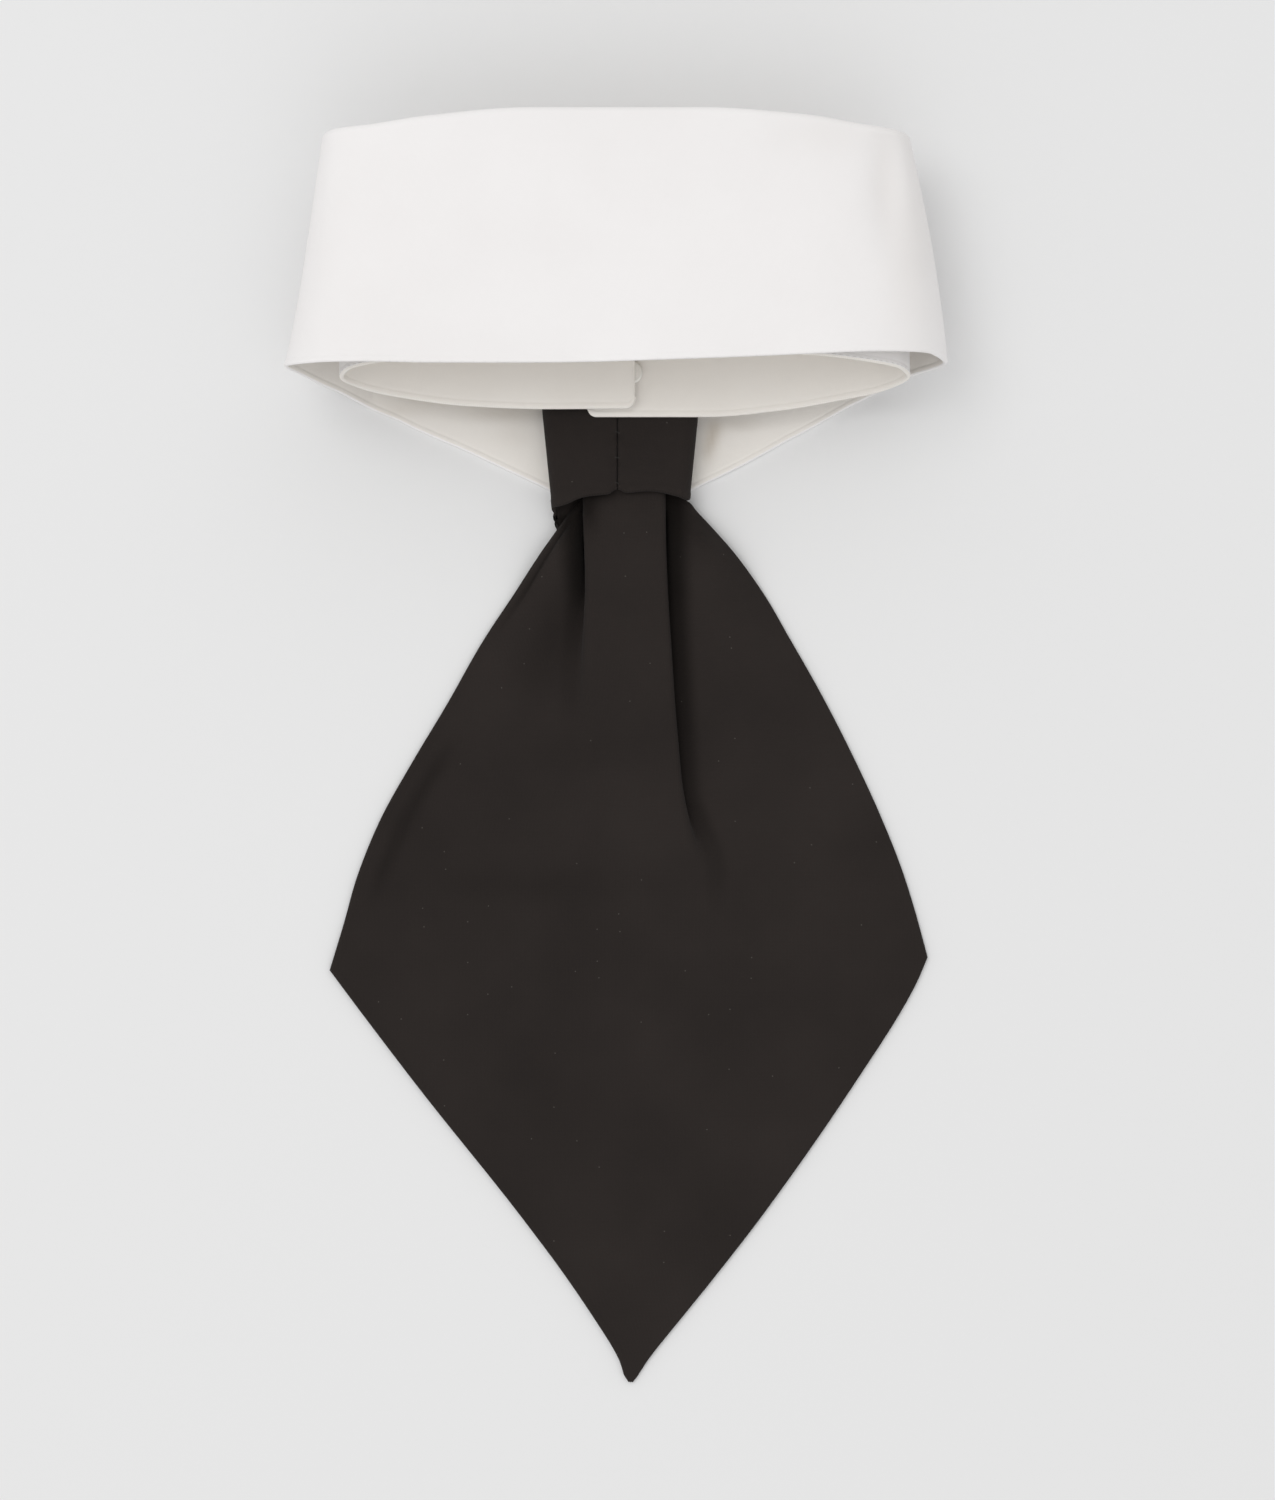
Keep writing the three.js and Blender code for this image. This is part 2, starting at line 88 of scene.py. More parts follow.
def readColumn(rows, along, key, at):  # smooth line through the rows of a table
    i = 0
    while i < len(rows) - 2 and at > rows[i + 1][along]:
        i += 1
    span = rows[i + 1][along] - rows[i][along]
    s = clamp((at - rows[i][along]) / span, 0, 1)
    ease = s * s * (3 - 2 * s)
    leave = slopeAt(rows, along, key, i) * (1 - s)
    arrive = slopeAt(rows, along, key, i + 1) * s
    return lerp(rows[i][key], rows[i + 1][key], ease) + span * s * (1 - s) * (leave - arrive)


def finerSteps(places, count):
    out = [places[0]]
    for a, b in zip(places, places[1:]):
        out += [lerp(a, b, (k + 1) / count) for k in range(count)]
    return out


besideHem = [v * mm for v in (0, 0.3, 0.6, 0.85, 1.05, 1.25, 1.5, 1.9, 2.5, 3.3)]


def hemSteps(count):  # distances from a hem, then shares of the rest of the way
    return [(near, 0) for near in besideHem] + [(besideHem[-1], (k + 1) / count) for k in range(count)]


def onStep(step, low, high):
    near, share = step
    return lerp(low + near, high, share)


def bell(v, reach):  # 1 at zero, fading out on both sides
    return math.exp(-((v / reach) ** 2))


def wander(x, y, size, seed):  # slow even unevenness, from -1 to 1
    return noise.noise(Vector((x / size, y / size, seed)))


# cloth walls: a grid on the middle surface, given thickness and a rounded edge
def gridNormals(grid):
    rows, cols = len(grid), len(grid[0])
    out = []
    for r in range(rows):
        line = []
        for c in range(cols):
            along = grid[r][min(c + 1, cols - 1)] - grid[r][max(c - 1, 0)]
            across = grid[min(r + 1, rows - 1)][c] - grid[max(r - 1, 0)][c]
            line.append(along.cross(across).normalized())
        out.append(line)
    return out


def unrolled(grid, middleCol, startRow):  # where each point lies on the flat cloth
    rows, cols = len(grid), len(grid[0])
    across = [[0.0] * cols for _ in range(rows)]
    up = [[0.0] * cols for _ in range(rows)]
    for r in range(rows):
        for c in range(middleCol + 1, cols):
            across[r][c] = across[r][c - 1] + (grid[r][c] - grid[r][c - 1]).length
        for c in range(middleCol - 1, -1, -1):
            across[r][c] = across[r][c + 1] - (grid[r][c] - grid[r][c + 1]).length
    for c in range(cols):
        for r in range(startRow + 1, rows):
            up[r][c] = up[r - 1][c] + (grid[r][c] - grid[r - 1][c]).length
        for r in range(startRow - 1, -1, -1):
            up[r][c] = up[r + 1][c] - (grid[r][c] - grid[r + 1][c]).length
    return [[(across[r][c], up[r][c]) for c in range(cols)] for r in range(rows)]


def clothWall(name, grid, thickness, flat, swell, shade=None, backSwells=True):
    rows, cols = len(grid), len(grid[0])
    normals = gridNormals(grid)
    half = thickness / 2
    edgeSteps = 4
    least = 1e-6  # weight of a side edge away from the corners

    def outward(r, c):
        way = Vector()
        if r == 0:
            way += grid[0][c] - grid[1][c]
        if r == rows - 1:
            way += grid[r][c] - grid[r - 1][c]
        if c == 0:
            way += (grid[r][0] - grid[r][1]).normalized() * max(way.length, least)
        if c == cols - 1:
            way += (grid[r][c] - grid[r][c - 1]).normalized() * max(way.length, least)
        n = normals[r][c]
        return (way - n * way.dot(n)).normalized()

    def reach(r, c, side):
        return half * swell(r, c, flat[r][c]) if side > 0 or backSwells else half

    places, uvs = [], []
    for side in (1, -1):
        for r in range(rows):
            for c in range(cols):
                places.append(grid[r][c] + normals[r][c] * side * reach(r, c, side))
                uvs.append(flat[r][c])
    rim = [(0, c) for c in range(cols)] + [(r, cols - 1) for r in range(1, rows)]
    rim += [(rows - 1, c) for c in range(cols - 2, -1, -1)] + [(r, 0) for r in range(rows - 2, 0, -1)]
    rings = [[r * cols + c for r, c in rim]]
    for k in range(1, edgeSteps):
        turn = math.pi * k / edgeSteps
        ring = []
        for r, c in rim:
            out = outward(r, c)
            ring.append(len(places))
            up = reach(r, c, math.cos(turn)) * math.cos(turn)
            places.append(grid[r][c] + normals[r][c] * up + out * half * math.sin(turn))
            uvs.append(flat[r][c])
        rings.append(ring)
    rings.append([rows * cols + r * cols + c for r, c in rim])
    faces = []
    for r in range(rows - 1):
        for c in range(cols - 1):
            a, b = r * cols + c, (r + 1) * cols + c
            faces.append((a, a + 1, b + 1, b))
            low = rows * cols
            faces.append((low + a, low + b, low + b + 1, low + a + 1))
    count = len(rim)
    for inner, outer in zip(rings, rings[1:]):
        for i in range(count):
            j = (i + 1) % count
            faces.append((inner[j], inner[i], outer[i], outer[j]))
    mesh = bpy.data.meshes.new(name)
    mesh.from_pydata(places, [], faces)
    layer = mesh.uv_layers.new(name="cloth")
    for loop in mesh.loops:
        layer.data[loop.index].uv = uvs[loop.vertex_index]
    dark = mesh.attributes.new("foldShade", "FLOAT", "POINT")
    if shade:
        onGrid = [shade(r, c) for r in range(rows) for c in range(cols)]
        onRim = [shade(r, c) for _ in range(1, edgeSteps) for r, c in rim]
        dark.data.foreach_set("value", onGrid + onGrid + onRim)
    onBack = [0, 1] * ((rows - 1) * (cols - 1)) + [0] * (len(rim) * edgeSteps)
    mesh.polygons.foreach_set("material_index", onBack)
    mesh.polygons.foreach_set("use_smooth", [True] * len(mesh.polygons))
    mesh.update()
    piece = bpy.data.objects.new(name, mesh)
    bpy.context.scene.collection.objects.link(piece)
    return piece


# materials
def newMaterial(name):
    material = bpy.data.materials.new(name)
    material.use_nodes = True
    nodes, links = material.node_tree.nodes, material.node_tree.links
    shader = nodes["Principled BSDF"]
    return material, nodes, links, shader


def addNode(nodes, kind, **settings):
    node = nodes.new(kind)
    for key, value in settings.items():
        if key in node.inputs:
            node.inputs[key].default_value = value
        else:
            setattr(node, key, value)
    return node


def join(links, *wires):  # each wire: node, its output, node, its input
    for source, out, target, into in wires:
        links.new(source.outputs[out], target.inputs[into])


def plainWeave(pitch):  # threads over and under each other, read from the cloth's own UV
    tree = bpy.data.node_groups.new("plainWeave", "ShaderNodeTree")
    tree.interface.new_socket("Height", in_out="OUTPUT", socket_type="NodeSocketFloat")
    nodes, links = tree.nodes, tree.links
    uv = addNode(nodes, "ShaderNodeUVMap", uv_map="cloth")
    split = addNode(nodes, "ShaderNodeSeparateXYZ")
    links.new(uv.outputs["UV"], split.inputs[0])

    def math2(operation, a, b=0.0):
        node = addNode(nodes, "ShaderNodeMath", operation=operation)
        for socket, value in ((0, a), (1, b)):
            if hasattr(value, "is_linked"):
                links.new(value, node.inputs[socket])
            else:
                node.inputs[socket].default_value = value
        return node.outputs[0]
    warp = math2("MULTIPLY", split.outputs[0], math.pi / pitch)
    weft = math2("MULTIPLY", split.outputs[1], math.pi / pitch)
    warpRound = math2("ABSOLUTE", math2("SINE", warp))
    weftRound = math2("ABSOLUTE", math2("SINE", weft))
    over = math2("MULTIPLY", math2("COSINE", warp), math2("COSINE", weft))
    share = math2("ADD", math2("MULTIPLY", over, 0.5), 0.5)
    mix = addNode(nodes, "ShaderNodeMix", data_type="FLOAT")
    links.new(share, mix.inputs["Factor"])
    links.new(warpRound, mix.inputs["A"])
    links.new(weftRound, mix.inputs["B"])
    end = addNode(nodes, "NodeGroupOutput")
    links.new(mix.outputs[0], end.inputs["Height"])
    return tree


def toneRamp(nodes, low, high, start=0, end=1):
    ramp = addNode(nodes, "ShaderNodeValToRGB")
    for element, colour, position in zip(ramp.color_ramp.elements, (low, high), (start, end)):
        element.color = colour
        element.position = position
    return ramp


def clothMaterial(name, look):
    material, nodes, links, shader = newMaterial(name)
    place = addNode(nodes, "ShaderNodeTexCoord")
    weave = addNode(nodes, "ShaderNodeGroup", node_tree=plainWeave(look["pitch"]))
    broad = addNode(nodes, "ShaderNodeTexNoise", Scale=look["broadScale"], Detail=3.0, Roughness=0.5)
    slub = addNode(nodes, "ShaderNodeTexNoise", Scale=look["slubScale"], Detail=4.0, Roughness=0.7)
    tone = toneRamp(nodes, look["dark"], look["light"], *look["toneSpan"])
    threads = addNode(nodes, "ShaderNodeMix", data_type="RGBA", blend_type="MULTIPLY")
    threads.inputs["Factor"].default_value = look["threadShade"]
    grey = toneRamp(nodes, look["threadGap"], (1, 1, 1, 1), 0, look["threadTop"])
    join(
        links,
        (place, "Object", broad, "Vector"), (place, "Object", slub, "Vector"),
        (broad, "Fac", tone, "Fac"), (weave, "Height", grey, "Fac"),
        (tone, "Color", threads, "A"), (grey, "Color", threads, "B"),
    )
    colour = threads
    if "lint" in look:
        colour = addNode(nodes, "ShaderNodeMix", data_type="RGBA")
        colour.inputs["B"].default_value = look["lint"]
        onCloth = addNode(nodes, "ShaderNodeUVMap", uv_map="cloth")
        speck = addNode(nodes, "ShaderNodeTexVoronoi", voronoi_dimensions="2D", feature="F1")
        speck.inputs["Scale"].default_value = look["lintScale"]
        near = addNode(nodes, "ShaderNodeMath", operation="LESS_THAN")
        near.inputs[1].default_value = look["lintSize"]
        chance = addNode(nodes, "ShaderNodeSeparateColor")
        few = addNode(nodes, "ShaderNodeMath", operation="GREATER_THAN")
        few.inputs[1].default_value = look["lintRare"]
        both = addNode(nodes, "ShaderNodeMath", operation="MULTIPLY")
        join(
            links,
            (onCloth, "UV", speck, "Vector"), (speck, "Distance", near, 0), (speck, "Color", chance, 0),
            (chance, 0, few, 0), (near, 0, both, 0), (few, 0, both, 1),
            (both, 0, colour, "Factor"), (threads, "Result", colour, "A"),
        )
    # painted shade: the foldShade attribute draws the cloth's colour toward its darker shade colour, with one
    # faint warm tint on the back of the fall
    folds = addNode(nodes, "ShaderNodeAttribute", attribute_name="foldShade")
    deep = addNode(nodes, "ShaderNodeMix", data_type="RGBA", blend_type="MULTIPLY")
    deep.inputs["B"].default_value = look["paintedShadeColour"]
    weaveBump = addNode(nodes, "ShaderNodeBump", Strength=look["weaveBump"], Distance=look["weaveRise"])
    slubBump = addNode(nodes, "ShaderNodeBump", Strength=look["slubBump"], Distance=look["slubRise"])
    join(
        links,
        (folds, "Fac", deep, "Factor"), (colour, "Result", deep, "A"), (deep, "Result", shader, "Base Color"),
        (weave, "Height", weaveBump, "Height"), (slub, "Fac", slubBump, "Height"),
        (weaveBump, "Normal", slubBump, "Normal"), (slubBump, "Normal", shader, "Normal"),
    )
    for socket, key in (
        ("Roughness", "roughness"), ("Specular IOR Level", "specular"),
        ("Sheen Weight", "sheen"), ("Sheen Roughness", "sheenRoughness"),
    ):
        shader.inputs[socket].default_value = look[key]
    return material


clothLook = {  # what both cloths share
    "toneSpan": (0.3, 0.7), "threadGap": (0.45, 0.45, 0.45, 1), "threadTop": 0.6,
    "weaveRise": 0.12 * mm, "slubRise": 0.2 * mm, "sheenRoughness": 0.5,
}
cottonLook = {
    **clothLook,
    "pitch": 0.32 * mm, "broadScale": 28.0, "slubScale": 900.0,
    "dark": (0.865, 0.845, 0.838, 1), "light": (0.89, 0.872, 0.866, 1),
    "threadShade": 0.10, "weaveBump": 0.35, "slubBump": 0.15,
    "roughness": 0.88, "specular": 0.25, "sheen": 0.05, "paintedShadeColour": (0.62, 0.56, 0.48, 1),
}
shadedCottonLook = {  # painted warm shade: a darker, creamier copy of the cotton for the collar's inner faces
    **cottonLook,
    "dark": (0.85, 0.813, 0.763, 1), "light": (0.885, 0.85, 0.803, 1),
}
tieLook = {
    **clothLook,
    "pitch": 0.42 * mm, "broadScale": 22.0, "slubScale": 700.0,
    "dark": (0.0215, 0.0174, 0.0158, 1), "light": (0.028, 0.0226, 0.0204, 1),
    "threadShade": 0.5, "weaveBump": 0.6, "slubBump": 0.45,
    "roughness": 0.95, "specular": 0.12, "sheen": 0.03, "paintedShadeColour": (0.3, 0.28, 0.26, 1),
    "lint": (0.085, 0.078, 0.07, 1), "lintScale": 150.0, "lintSize": 0.026, "lintRare": 0.88,
}
metalLook = {
    "texture": "ShaderNodeTexNoise", "settings": {"Scale": 600.0, "Detail": 4.0},
    "dark": (0.74, 0.72, 0.68, 1), "light": (0.9, 0.88, 0.84, 1),
    "metallic": 0.9, "roughness": 0.4, "bump": 0.1, "rise": 0.05 * mm,
}
threadLook = {
    "texture": "ShaderNodeTexWave",
    "settings": {"wave_type": "BANDS", "bands_direction": "DIAGONAL", "Scale": 2500.0},
    "metallic": 0.0, "roughness": 0.7, "bump": 0.3, "rise": 0.05 * mm,
}
blackLook = {**threadLook, "dark": (0.014, 0.0126, 0.0112, 1), "light": (0.02, 0.018, 0.016, 1)}
whiteLook = {**threadLook, "dark": (0.581, 0.567, 0.553, 1), "light": (0.83, 0.81, 0.79, 1)}


def simpleMaterial(name, look):  # one texture gives both the tone and a slight bump
    material, nodes, links, shader = newMaterial(name)
    place = addNode(nodes, "ShaderNodeTexCoord")
    texture = addNode(nodes, look["texture"], **look["settings"])
    tone = toneRamp(nodes, look["dark"], look["light"])
    bump = addNode(nodes, "ShaderNodeBump", Strength=look["bump"], Distance=look["rise"])
    join(
        links,
        (place, "Object", texture, "Vector"), (texture, "Fac", tone, "Fac"), (texture, "Fac", bump, "Height"),
        (tone, "Color", shader, "Base Color"), (bump, "Normal", shader, "Normal"),
    )
    shader.inputs["Metallic"].default_value = look["metallic"]
    shader.inputs["Roughness"].default_value = look["roughness"]
    return material


cotton = clothMaterial("whiteCotton", cottonLook)
# painted warm shade: the shaded copy of the white cotton
shadedCotton = clothMaterial("shadedCotton", shadedCottonLook)
tieCloth = clothMaterial("blackSuiting", tieLook)
dulledMetal = simpleMaterial("dulledMetal", metalLook)
blackThread = simpleMaterial("blackThread", blackLook)
whiteThread = simpleMaterial("whiteThread", whiteLook)
print("materials ready")


# stitches: one row of short threads along a path
def stitchTree():
    tree = bpy.data.node_groups.new("stitchRow", "GeometryNodeTree")
    face = tree.interface
    face.new_socket("Geometry", in_out="INPUT", socket_type="NodeSocketGeometry")
    lengths = (("Stitch", 2 * mm), ("Space", 1 * mm), ("Radius", 0.2 * mm))
    for name, value in lengths + (("Lean", 0.0), ("Stray", 0.1)):
        face.new_socket(name, in_out="INPUT", socket_type="NodeSocketFloat").default_value = value
    face.new_socket("Seed", in_out="INPUT", socket_type="NodeSocketInt").default_value = 3
    face.new_socket("Thread", in_out="INPUT", socket_type="NodeSocketMaterial")
    face.new_socket("Geometry", in_out="OUTPUT", socket_type="NodeSocketGeometry")
    nodes, links = tree.nodes, tree.links
    start = nodes.new("NodeGroupInput")
    end = nodes.new("NodeGroupOutput")
    curve = nodes.new("GeometryNodeMeshToCurve")
    spread = addNode(nodes, "GeometryNodeResampleCurve", mode="LENGTH")
    pitch = addNode(nodes, "ShaderNodeMath", operation="ADD")
    halfStitch = addNode(nodes, "ShaderNodeMath", operation="MULTIPLY")
    halfStitch.inputs[1].default_value = 0.5
    thread = addNode(nodes, "GeometryNodeMeshUVSphere", Segments=8, Rings=6, Radius=1.0)
    size = nodes.new("ShaderNodeCombineXYZ")
    tangent = nodes.new("GeometryNodeInputTangent")
    aim = addNode(nodes, "FunctionNodeAlignRotationToVector", axis="Z")
    lean = nodes.new("FunctionNodeAxisAngleToRotation")
    lean.inputs["Axis"].default_value = (0, 0, 1)
    stray = nodes.new("FunctionNodeRandomValue")
    minus = addNode(nodes, "ShaderNodeMath", operation="MULTIPLY")
    minus.inputs[1].default_value = -1
    total = addNode(nodes, "ShaderNodeMath", operation="ADD")
    turn = nodes.new("FunctionNodeRotateRotation")
    place = nodes.new("GeometryNodeInstanceOnPoints")
    real = nodes.new("GeometryNodeRealizeInstances")
    smooth = nodes.new("GeometryNodeSetShadeSmooth")
    paint = nodes.new("GeometryNodeSetMaterial")
    join(
        links,
        (start, "Geometry", curve, "Mesh"), (curve, "Curve", spread, "Curve"),
        (start, "Stitch", pitch, 0), (start, "Space", pitch, 1), (pitch, 0, spread, "Length"),
        (start, "Stitch", halfStitch, 0), (start, "Radius", size, "X"), (start, "Radius", size, "Y"),
        (halfStitch, 0, size, "Z"), (tangent, 0, aim, "Vector"),
        (start, "Stray", minus, 0), (minus, 0, stray, 2),
        (start, "Stray", stray, 3), (start, "Seed", stray, "Seed"),
        (stray, 1, total, 0), (start, "Lean", total, 1), (total, 0, lean, "Angle"),
        (aim, 0, turn, "Rotation"), (lean, 0, turn, "Rotate By"),
        (spread, "Curve", place, "Points"), (thread, "Mesh", place, "Instance"),
        (turn, 0, place, "Rotation"), (size, 0, place, "Scale"),
        (place, "Instances", real, "Geometry"), (real, "Geometry", smooth, "Geometry"),
        (smooth, "Geometry", paint, "Geometry"), (start, "Thread", paint, "Material"),
        (paint, "Geometry", end, "Geometry"),
    )
    return tree


stitchRow = stitchTree()


def sewRow(name, path, values, thread):  # path: points on the cloth's surface
    mesh = bpy.data.meshes.new(name + "Path")
    mesh.from_pydata(path, [(i, i + 1) for i in range(len(path) - 1)], [])
    guide = bpy.data.objects.new(name + "Path", mesh)
    bpy.context.scene.collection.objects.link(guide)
    modifier = guide.modifiers.new("stitches", "NODES")
    modifier.node_group = stitchRow
    given = {**values, "Thread": thread}
    for item in stitchRow.interface.items_tree:
        if item.in_out == "INPUT" and item.name in given:
            modifier[item.identifier] = given[item.name]
    bpy.context.view_layer.update()
    ready = guide.evaluated_get(bpy.context.evaluated_depsgraph_get())
    sewn = bpy.data.objects.new(name, bpy.data.meshes.new_from_object(ready))
    bpy.context.scene.collection.objects.link(sewn)
    guide.modifiers.remove(modifier)
    bpy.data.objects.remove(guide)
    return sewn


def settle(piece, node, slot, *materials):  # front of the cloth, back of the cloth
    for material in materials:
        piece.data.materials.append(material)
    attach(piece, "root")
    if node:
        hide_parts(node)


# collar
collar = {
    "cloth": 1.2 * mm, "gap": 0.3 * mm, "knotRoom": 10.6 * mm,
    "neckHalf": 84.6 * mm, "foldHalf": 85.8 * mm, "rimShift": 2.4 * mm, "foldShift": -0.3 * mm,
    "loopDepth": 32.8 * mm, "rimHeight": 293 * mm, "rimSlant": 17.6 * mm,
    "foldHeight": 72 * mm, "foldSlant": 17.8 * mm, "hemRise": 14.1 * mm, "pointDrop": 24 * mm,
    "hemFlare": 15.7 * mm, "returnDepth": 6 * mm, "overlap": 14.2 * mm, "endShift": 2.5 * mm,
    "pointSpread": 12.6 * mm, "frontGap": 4 * mm, "spreadReach": 70 * mm, "tabDrop": 14 * mm,
    "endReach": 1.2 * mm,  # of the inner end, past the snap
    "snapInset": 0.5 * mm, "endCorner": 2.6 * mm,
    "turnedIn": 1.1 * mm, "edgeRidge": 0.12,  # thicker by this share where an edge is turned in
    "ridgeFade": (0.75, 1.15), "groovePlace": 1.25, "grooveReach": 0.3, "grooveDepth": 0.8,
    "unevenness": 0.35 * mm, "waveDown": 0.07, "waveSize": 0.05, "waveSeed": 2.5,
    "dent": {"x": 79.5, "y": 168, "wide": 5.5, "high": 16}, "dentDepth": 1.9 * mm,
    "backAbove": 25 * mm,  # cloth of the fall above this height is its back
    "endSteps": (0, 0.12, 0.35, 0.7, 1.15, 1.7, 2.3, 3), "endClear": 4 * mm,
    "standSteps": 14, "standRows": 34, "fallSteps": 15, "fallRows": 50, "returnRows": 5, "rollSteps": 12,
    "slopeStep": 1.5 * mm,
}

loopSections = table(
    "x level rim fold flare hem curl",
    (-0.113, 0, 0.02, 0, 1.35, -0.3, 3),
    (0.29, 0, 0.02, 0.02, 1.35, 0.13, 3),
    (0.57, 0.02, 0.14, 0.13, 1.3, 0.47, 2.8),
    (0.77, 0.08, 0.3, 0.34, 1.15, 0.75, 2),
    (0.92, 0.22, 0.44, 0.54, 0.84, 0.96, 1.5),
    (1, 0.46, 0.62, 0.65, 0.62, 1.03, 1.3),
    (0.965, 0.7, 0.74, 0.68, 0.47, 1.086, 1.2),
    (0.85, 0.88, 0.83, 0.73, 0.34, 1.081, 1.1),
    (0.65, 0.975, 0.93, 0.87, 0.26, 1.058, 1.1),
    (0.3, 1, 1, 0.98, 0.22, 1.024, 1),
    (-0.3, 1, 1, 0.98, 0.22, 0.988, 1),
    (-0.65, 0.97, 0.93, 0.85, 0.3, 0.987, 1.1),
    (-0.86, 0.87, 0.82, 0.72, 0.5, 0.996, 0.9),
    (-0.97, 0.69, 0.72, 0.69, 0.74, 0.999, 0.85),
    (-1, 0.44, 0.6, 0.66, 0.96, 1, 0.85),
    (-0.94, 0.2, 0.47, 0.56, 1.06, 0.875, 1),
    (-0.8, 0.06, 0.33, 0.38, 1.2, 0.645, 1.8),
    (-0.56, 0.01, 0.19, 0.16, 1.3, 0.38, 2.8),
    (-0.28, 0, 0.14, 0.03, 1.35, 0.08, 3),
    (0.054, 0, 0.15, 0, 1.35, -0.3, 3),
)

backShadeAndTint = table(  # painted shade where the back curls down and at its dent, and one faint warm tint, in millimetres on the table
    "x y wide high dark",
    (79, 170, 4, 14, 0.1), (62, 183, 16, 6, 0.06), (87, 152, 7, 38, 0.11),
)
frontShadeSpots = table(  # painted shade on the fall's front beside the knot, in its creases and under the stand's hem
    "x y wide high dark",
    (30, 99.5, 2.2, 3.5, 0.42), (28.8, 96, 2, 3.5, 0.45), (27.6, 92.3, 1.8, 3.5, 0.3), (37, 101, 7, 2.5, 0.2),
    (-34, 104.5, 14, 2.6, 0.34), (-56, 109, 14, 2.6, 0.26), (-31, 98, 6, 4, 0.12), (-64, 105, 8, 1.8, 0.15),
)


def spotFade(spot, place):  # 1 in the middle of the spot
    across = (place.x / mm - spot["x"]) / spot["wide"]
    up = (place.y / mm - spot["y"]) / spot["high"]
    return math.exp(-(across ** 2 + up ** 2))


def spotShade(spots, place):
    return sum(spot["dark"] * spotFade(spot, place) for spot in spots)


wingLevel = collar["cloth"] / 2
knotFloor = collar["cloth"] + collar["gap"]
knotTop = knotFloor + collar["knotRoom"]
outerEndLevel = knotTop + collar["gap"] + collar["cloth"] / 2
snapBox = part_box("snap_fastener")
innerEndLevel = outerEndLevel + collar["cloth"] + 2 * collar["gap"] + (snapBox[1][2] - snapBox[0][2])
backLevel = outerEndLevel + collar["loopDepth"]
foldRadius = collar["cloth"] + collar["gap"]
endX = -collar["endShift"] + collar["overlap"] / 2
frameShift = Vector((
    (snapBox[0][0] + snapBox[1][0]) / 2 - (endX - collar["snapInset"]),
    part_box("tie_blade")[0][1],
    0,
))


def measureLoop():
    out = []
    at = 0
    for i, section in enumerate(loopSections):
        front = outerEndLevel if i < len(loopSections) / 2 else innerEndLevel
        z = lerp(front, backLevel, section["level"])
        rimX = section["x"] * collar["neckHalf"] + collar["rimShift"]
        foldX = section["x"] * collar["foldHalf"] + collar["foldShift"]
        if i == 0:
            rimX = foldX = -collar["endShift"] - collar["overlap"] / 2
        if i == len(loopSections) - 1:
            rimX = foldX = endX + collar["endReach"]
        if out:
            at += math.hypot(rimX - out[-1]["rimX"], z - out[-1]["z"])
        out.append({**section, "at": at, "rimX": rimX, "foldX": foldX, "z": z})
    return out


loop = measureLoop()
loopLength = loop[-1]["at"]
loopMemory = {}


def loopAt(key, at):
    spot = (key, round(at, 7))
    if spot not in loopMemory:
        loopMemory[spot] = readColumn(loop, "at", key, at)
    return loopMemory[spot]


def rimAt(at):
    return collar["rimHeight"] + collar["rimSlant"] * loopAt("rim", at)


def foldAt(at):
    return collar["rimHeight"] + collar["foldHeight"] + collar["foldSlant"] * loopAt("fold", at)


def crownAt(at):
    return foldAt(at) - collar["cloth"] / 2 - foldRadius


def loopPoint(at, y, out):  # out: distance from the stand, away from the neck
    rise = clamp((y - rimAt(at)) / (foldAt(at) - rimAt(at)), 0, 1)

    def place(s):
        return lerp(loopAt("rimX", s), loopAt("foldX", s), rise), loopAt("z", s)
    x, z = place(at)
    nextX, nextZ = place(min(at + collar["slopeStep"], loopLength))
    lastX, lastZ = place(max(at - collar["slopeStep"], 0))
    run = math.hypot(nextX - lastX, nextZ - lastZ)
    return Vector((x + out * (nextZ - lastZ) / run, y, z - out * (nextX - lastX) / run))


def edgeRidge(edge):  # turned-in edge, a seam line beside it
    wide = collar["turnedIn"]
    start, end = collar["ridgeFade"]
    ridge = 1 - smoothStep(edge, start * wide, end * wide)
    groove = bell(edge - collar["groovePlace"] * wide, collar["grooveReach"] * wide)
    return 1 + collar["edgeRidge"] * (ridge - collar["grooveDepth"] * groove)


def makeStand():  # closed loop, its two ends one over the other
    trim = collar["cloth"] / 2
    corner = collar["endCorner"]
    clear = collar["endClear"]
    nearEnd = [trim + v * mm for v in collar["endSteps"]]
    finer = finerSteps([section["at"] for section in loop], collar["standSteps"])
    inner = [at for at in finer if clear < at < loopLength - clear]
    stations = nearEnd + inner + [loopLength - at for at in reversed(nearEnd)]
    grid = []
    for step in hemSteps(collar["standRows"]):
        line = []
        for at in stations:
            cut = collar["tabDrop"] * (1 - smoothStep(at, 0, collar["overlap"] + collar["frontGap"]))
            low = rimAt(at) + trim
            fromEnd = min(at, loopLength - at) - trim
            if fromEnd < corner:  # rounded lower corners of the two ends
                low += corner - math.sqrt(max(corner ** 2 - (corner - fromEnd) ** 2, 0))
            line.append(loopPoint(at, onStep(step, low, crownAt(at) - cut), 0) + frameShift)
        grid.append(line)
    flat = unrolled(grid, len(stations) // 2, 0)

    def ridge(r, c, place):
        fromEnds = [abs(place[0] - flat[r][end][0]) for end in (0, -1)]
        return edgeRidge(min(place[1], *fromEnds))
    return clothWall("collarStand", grid, collar["cloth"], flat, ridge), grid


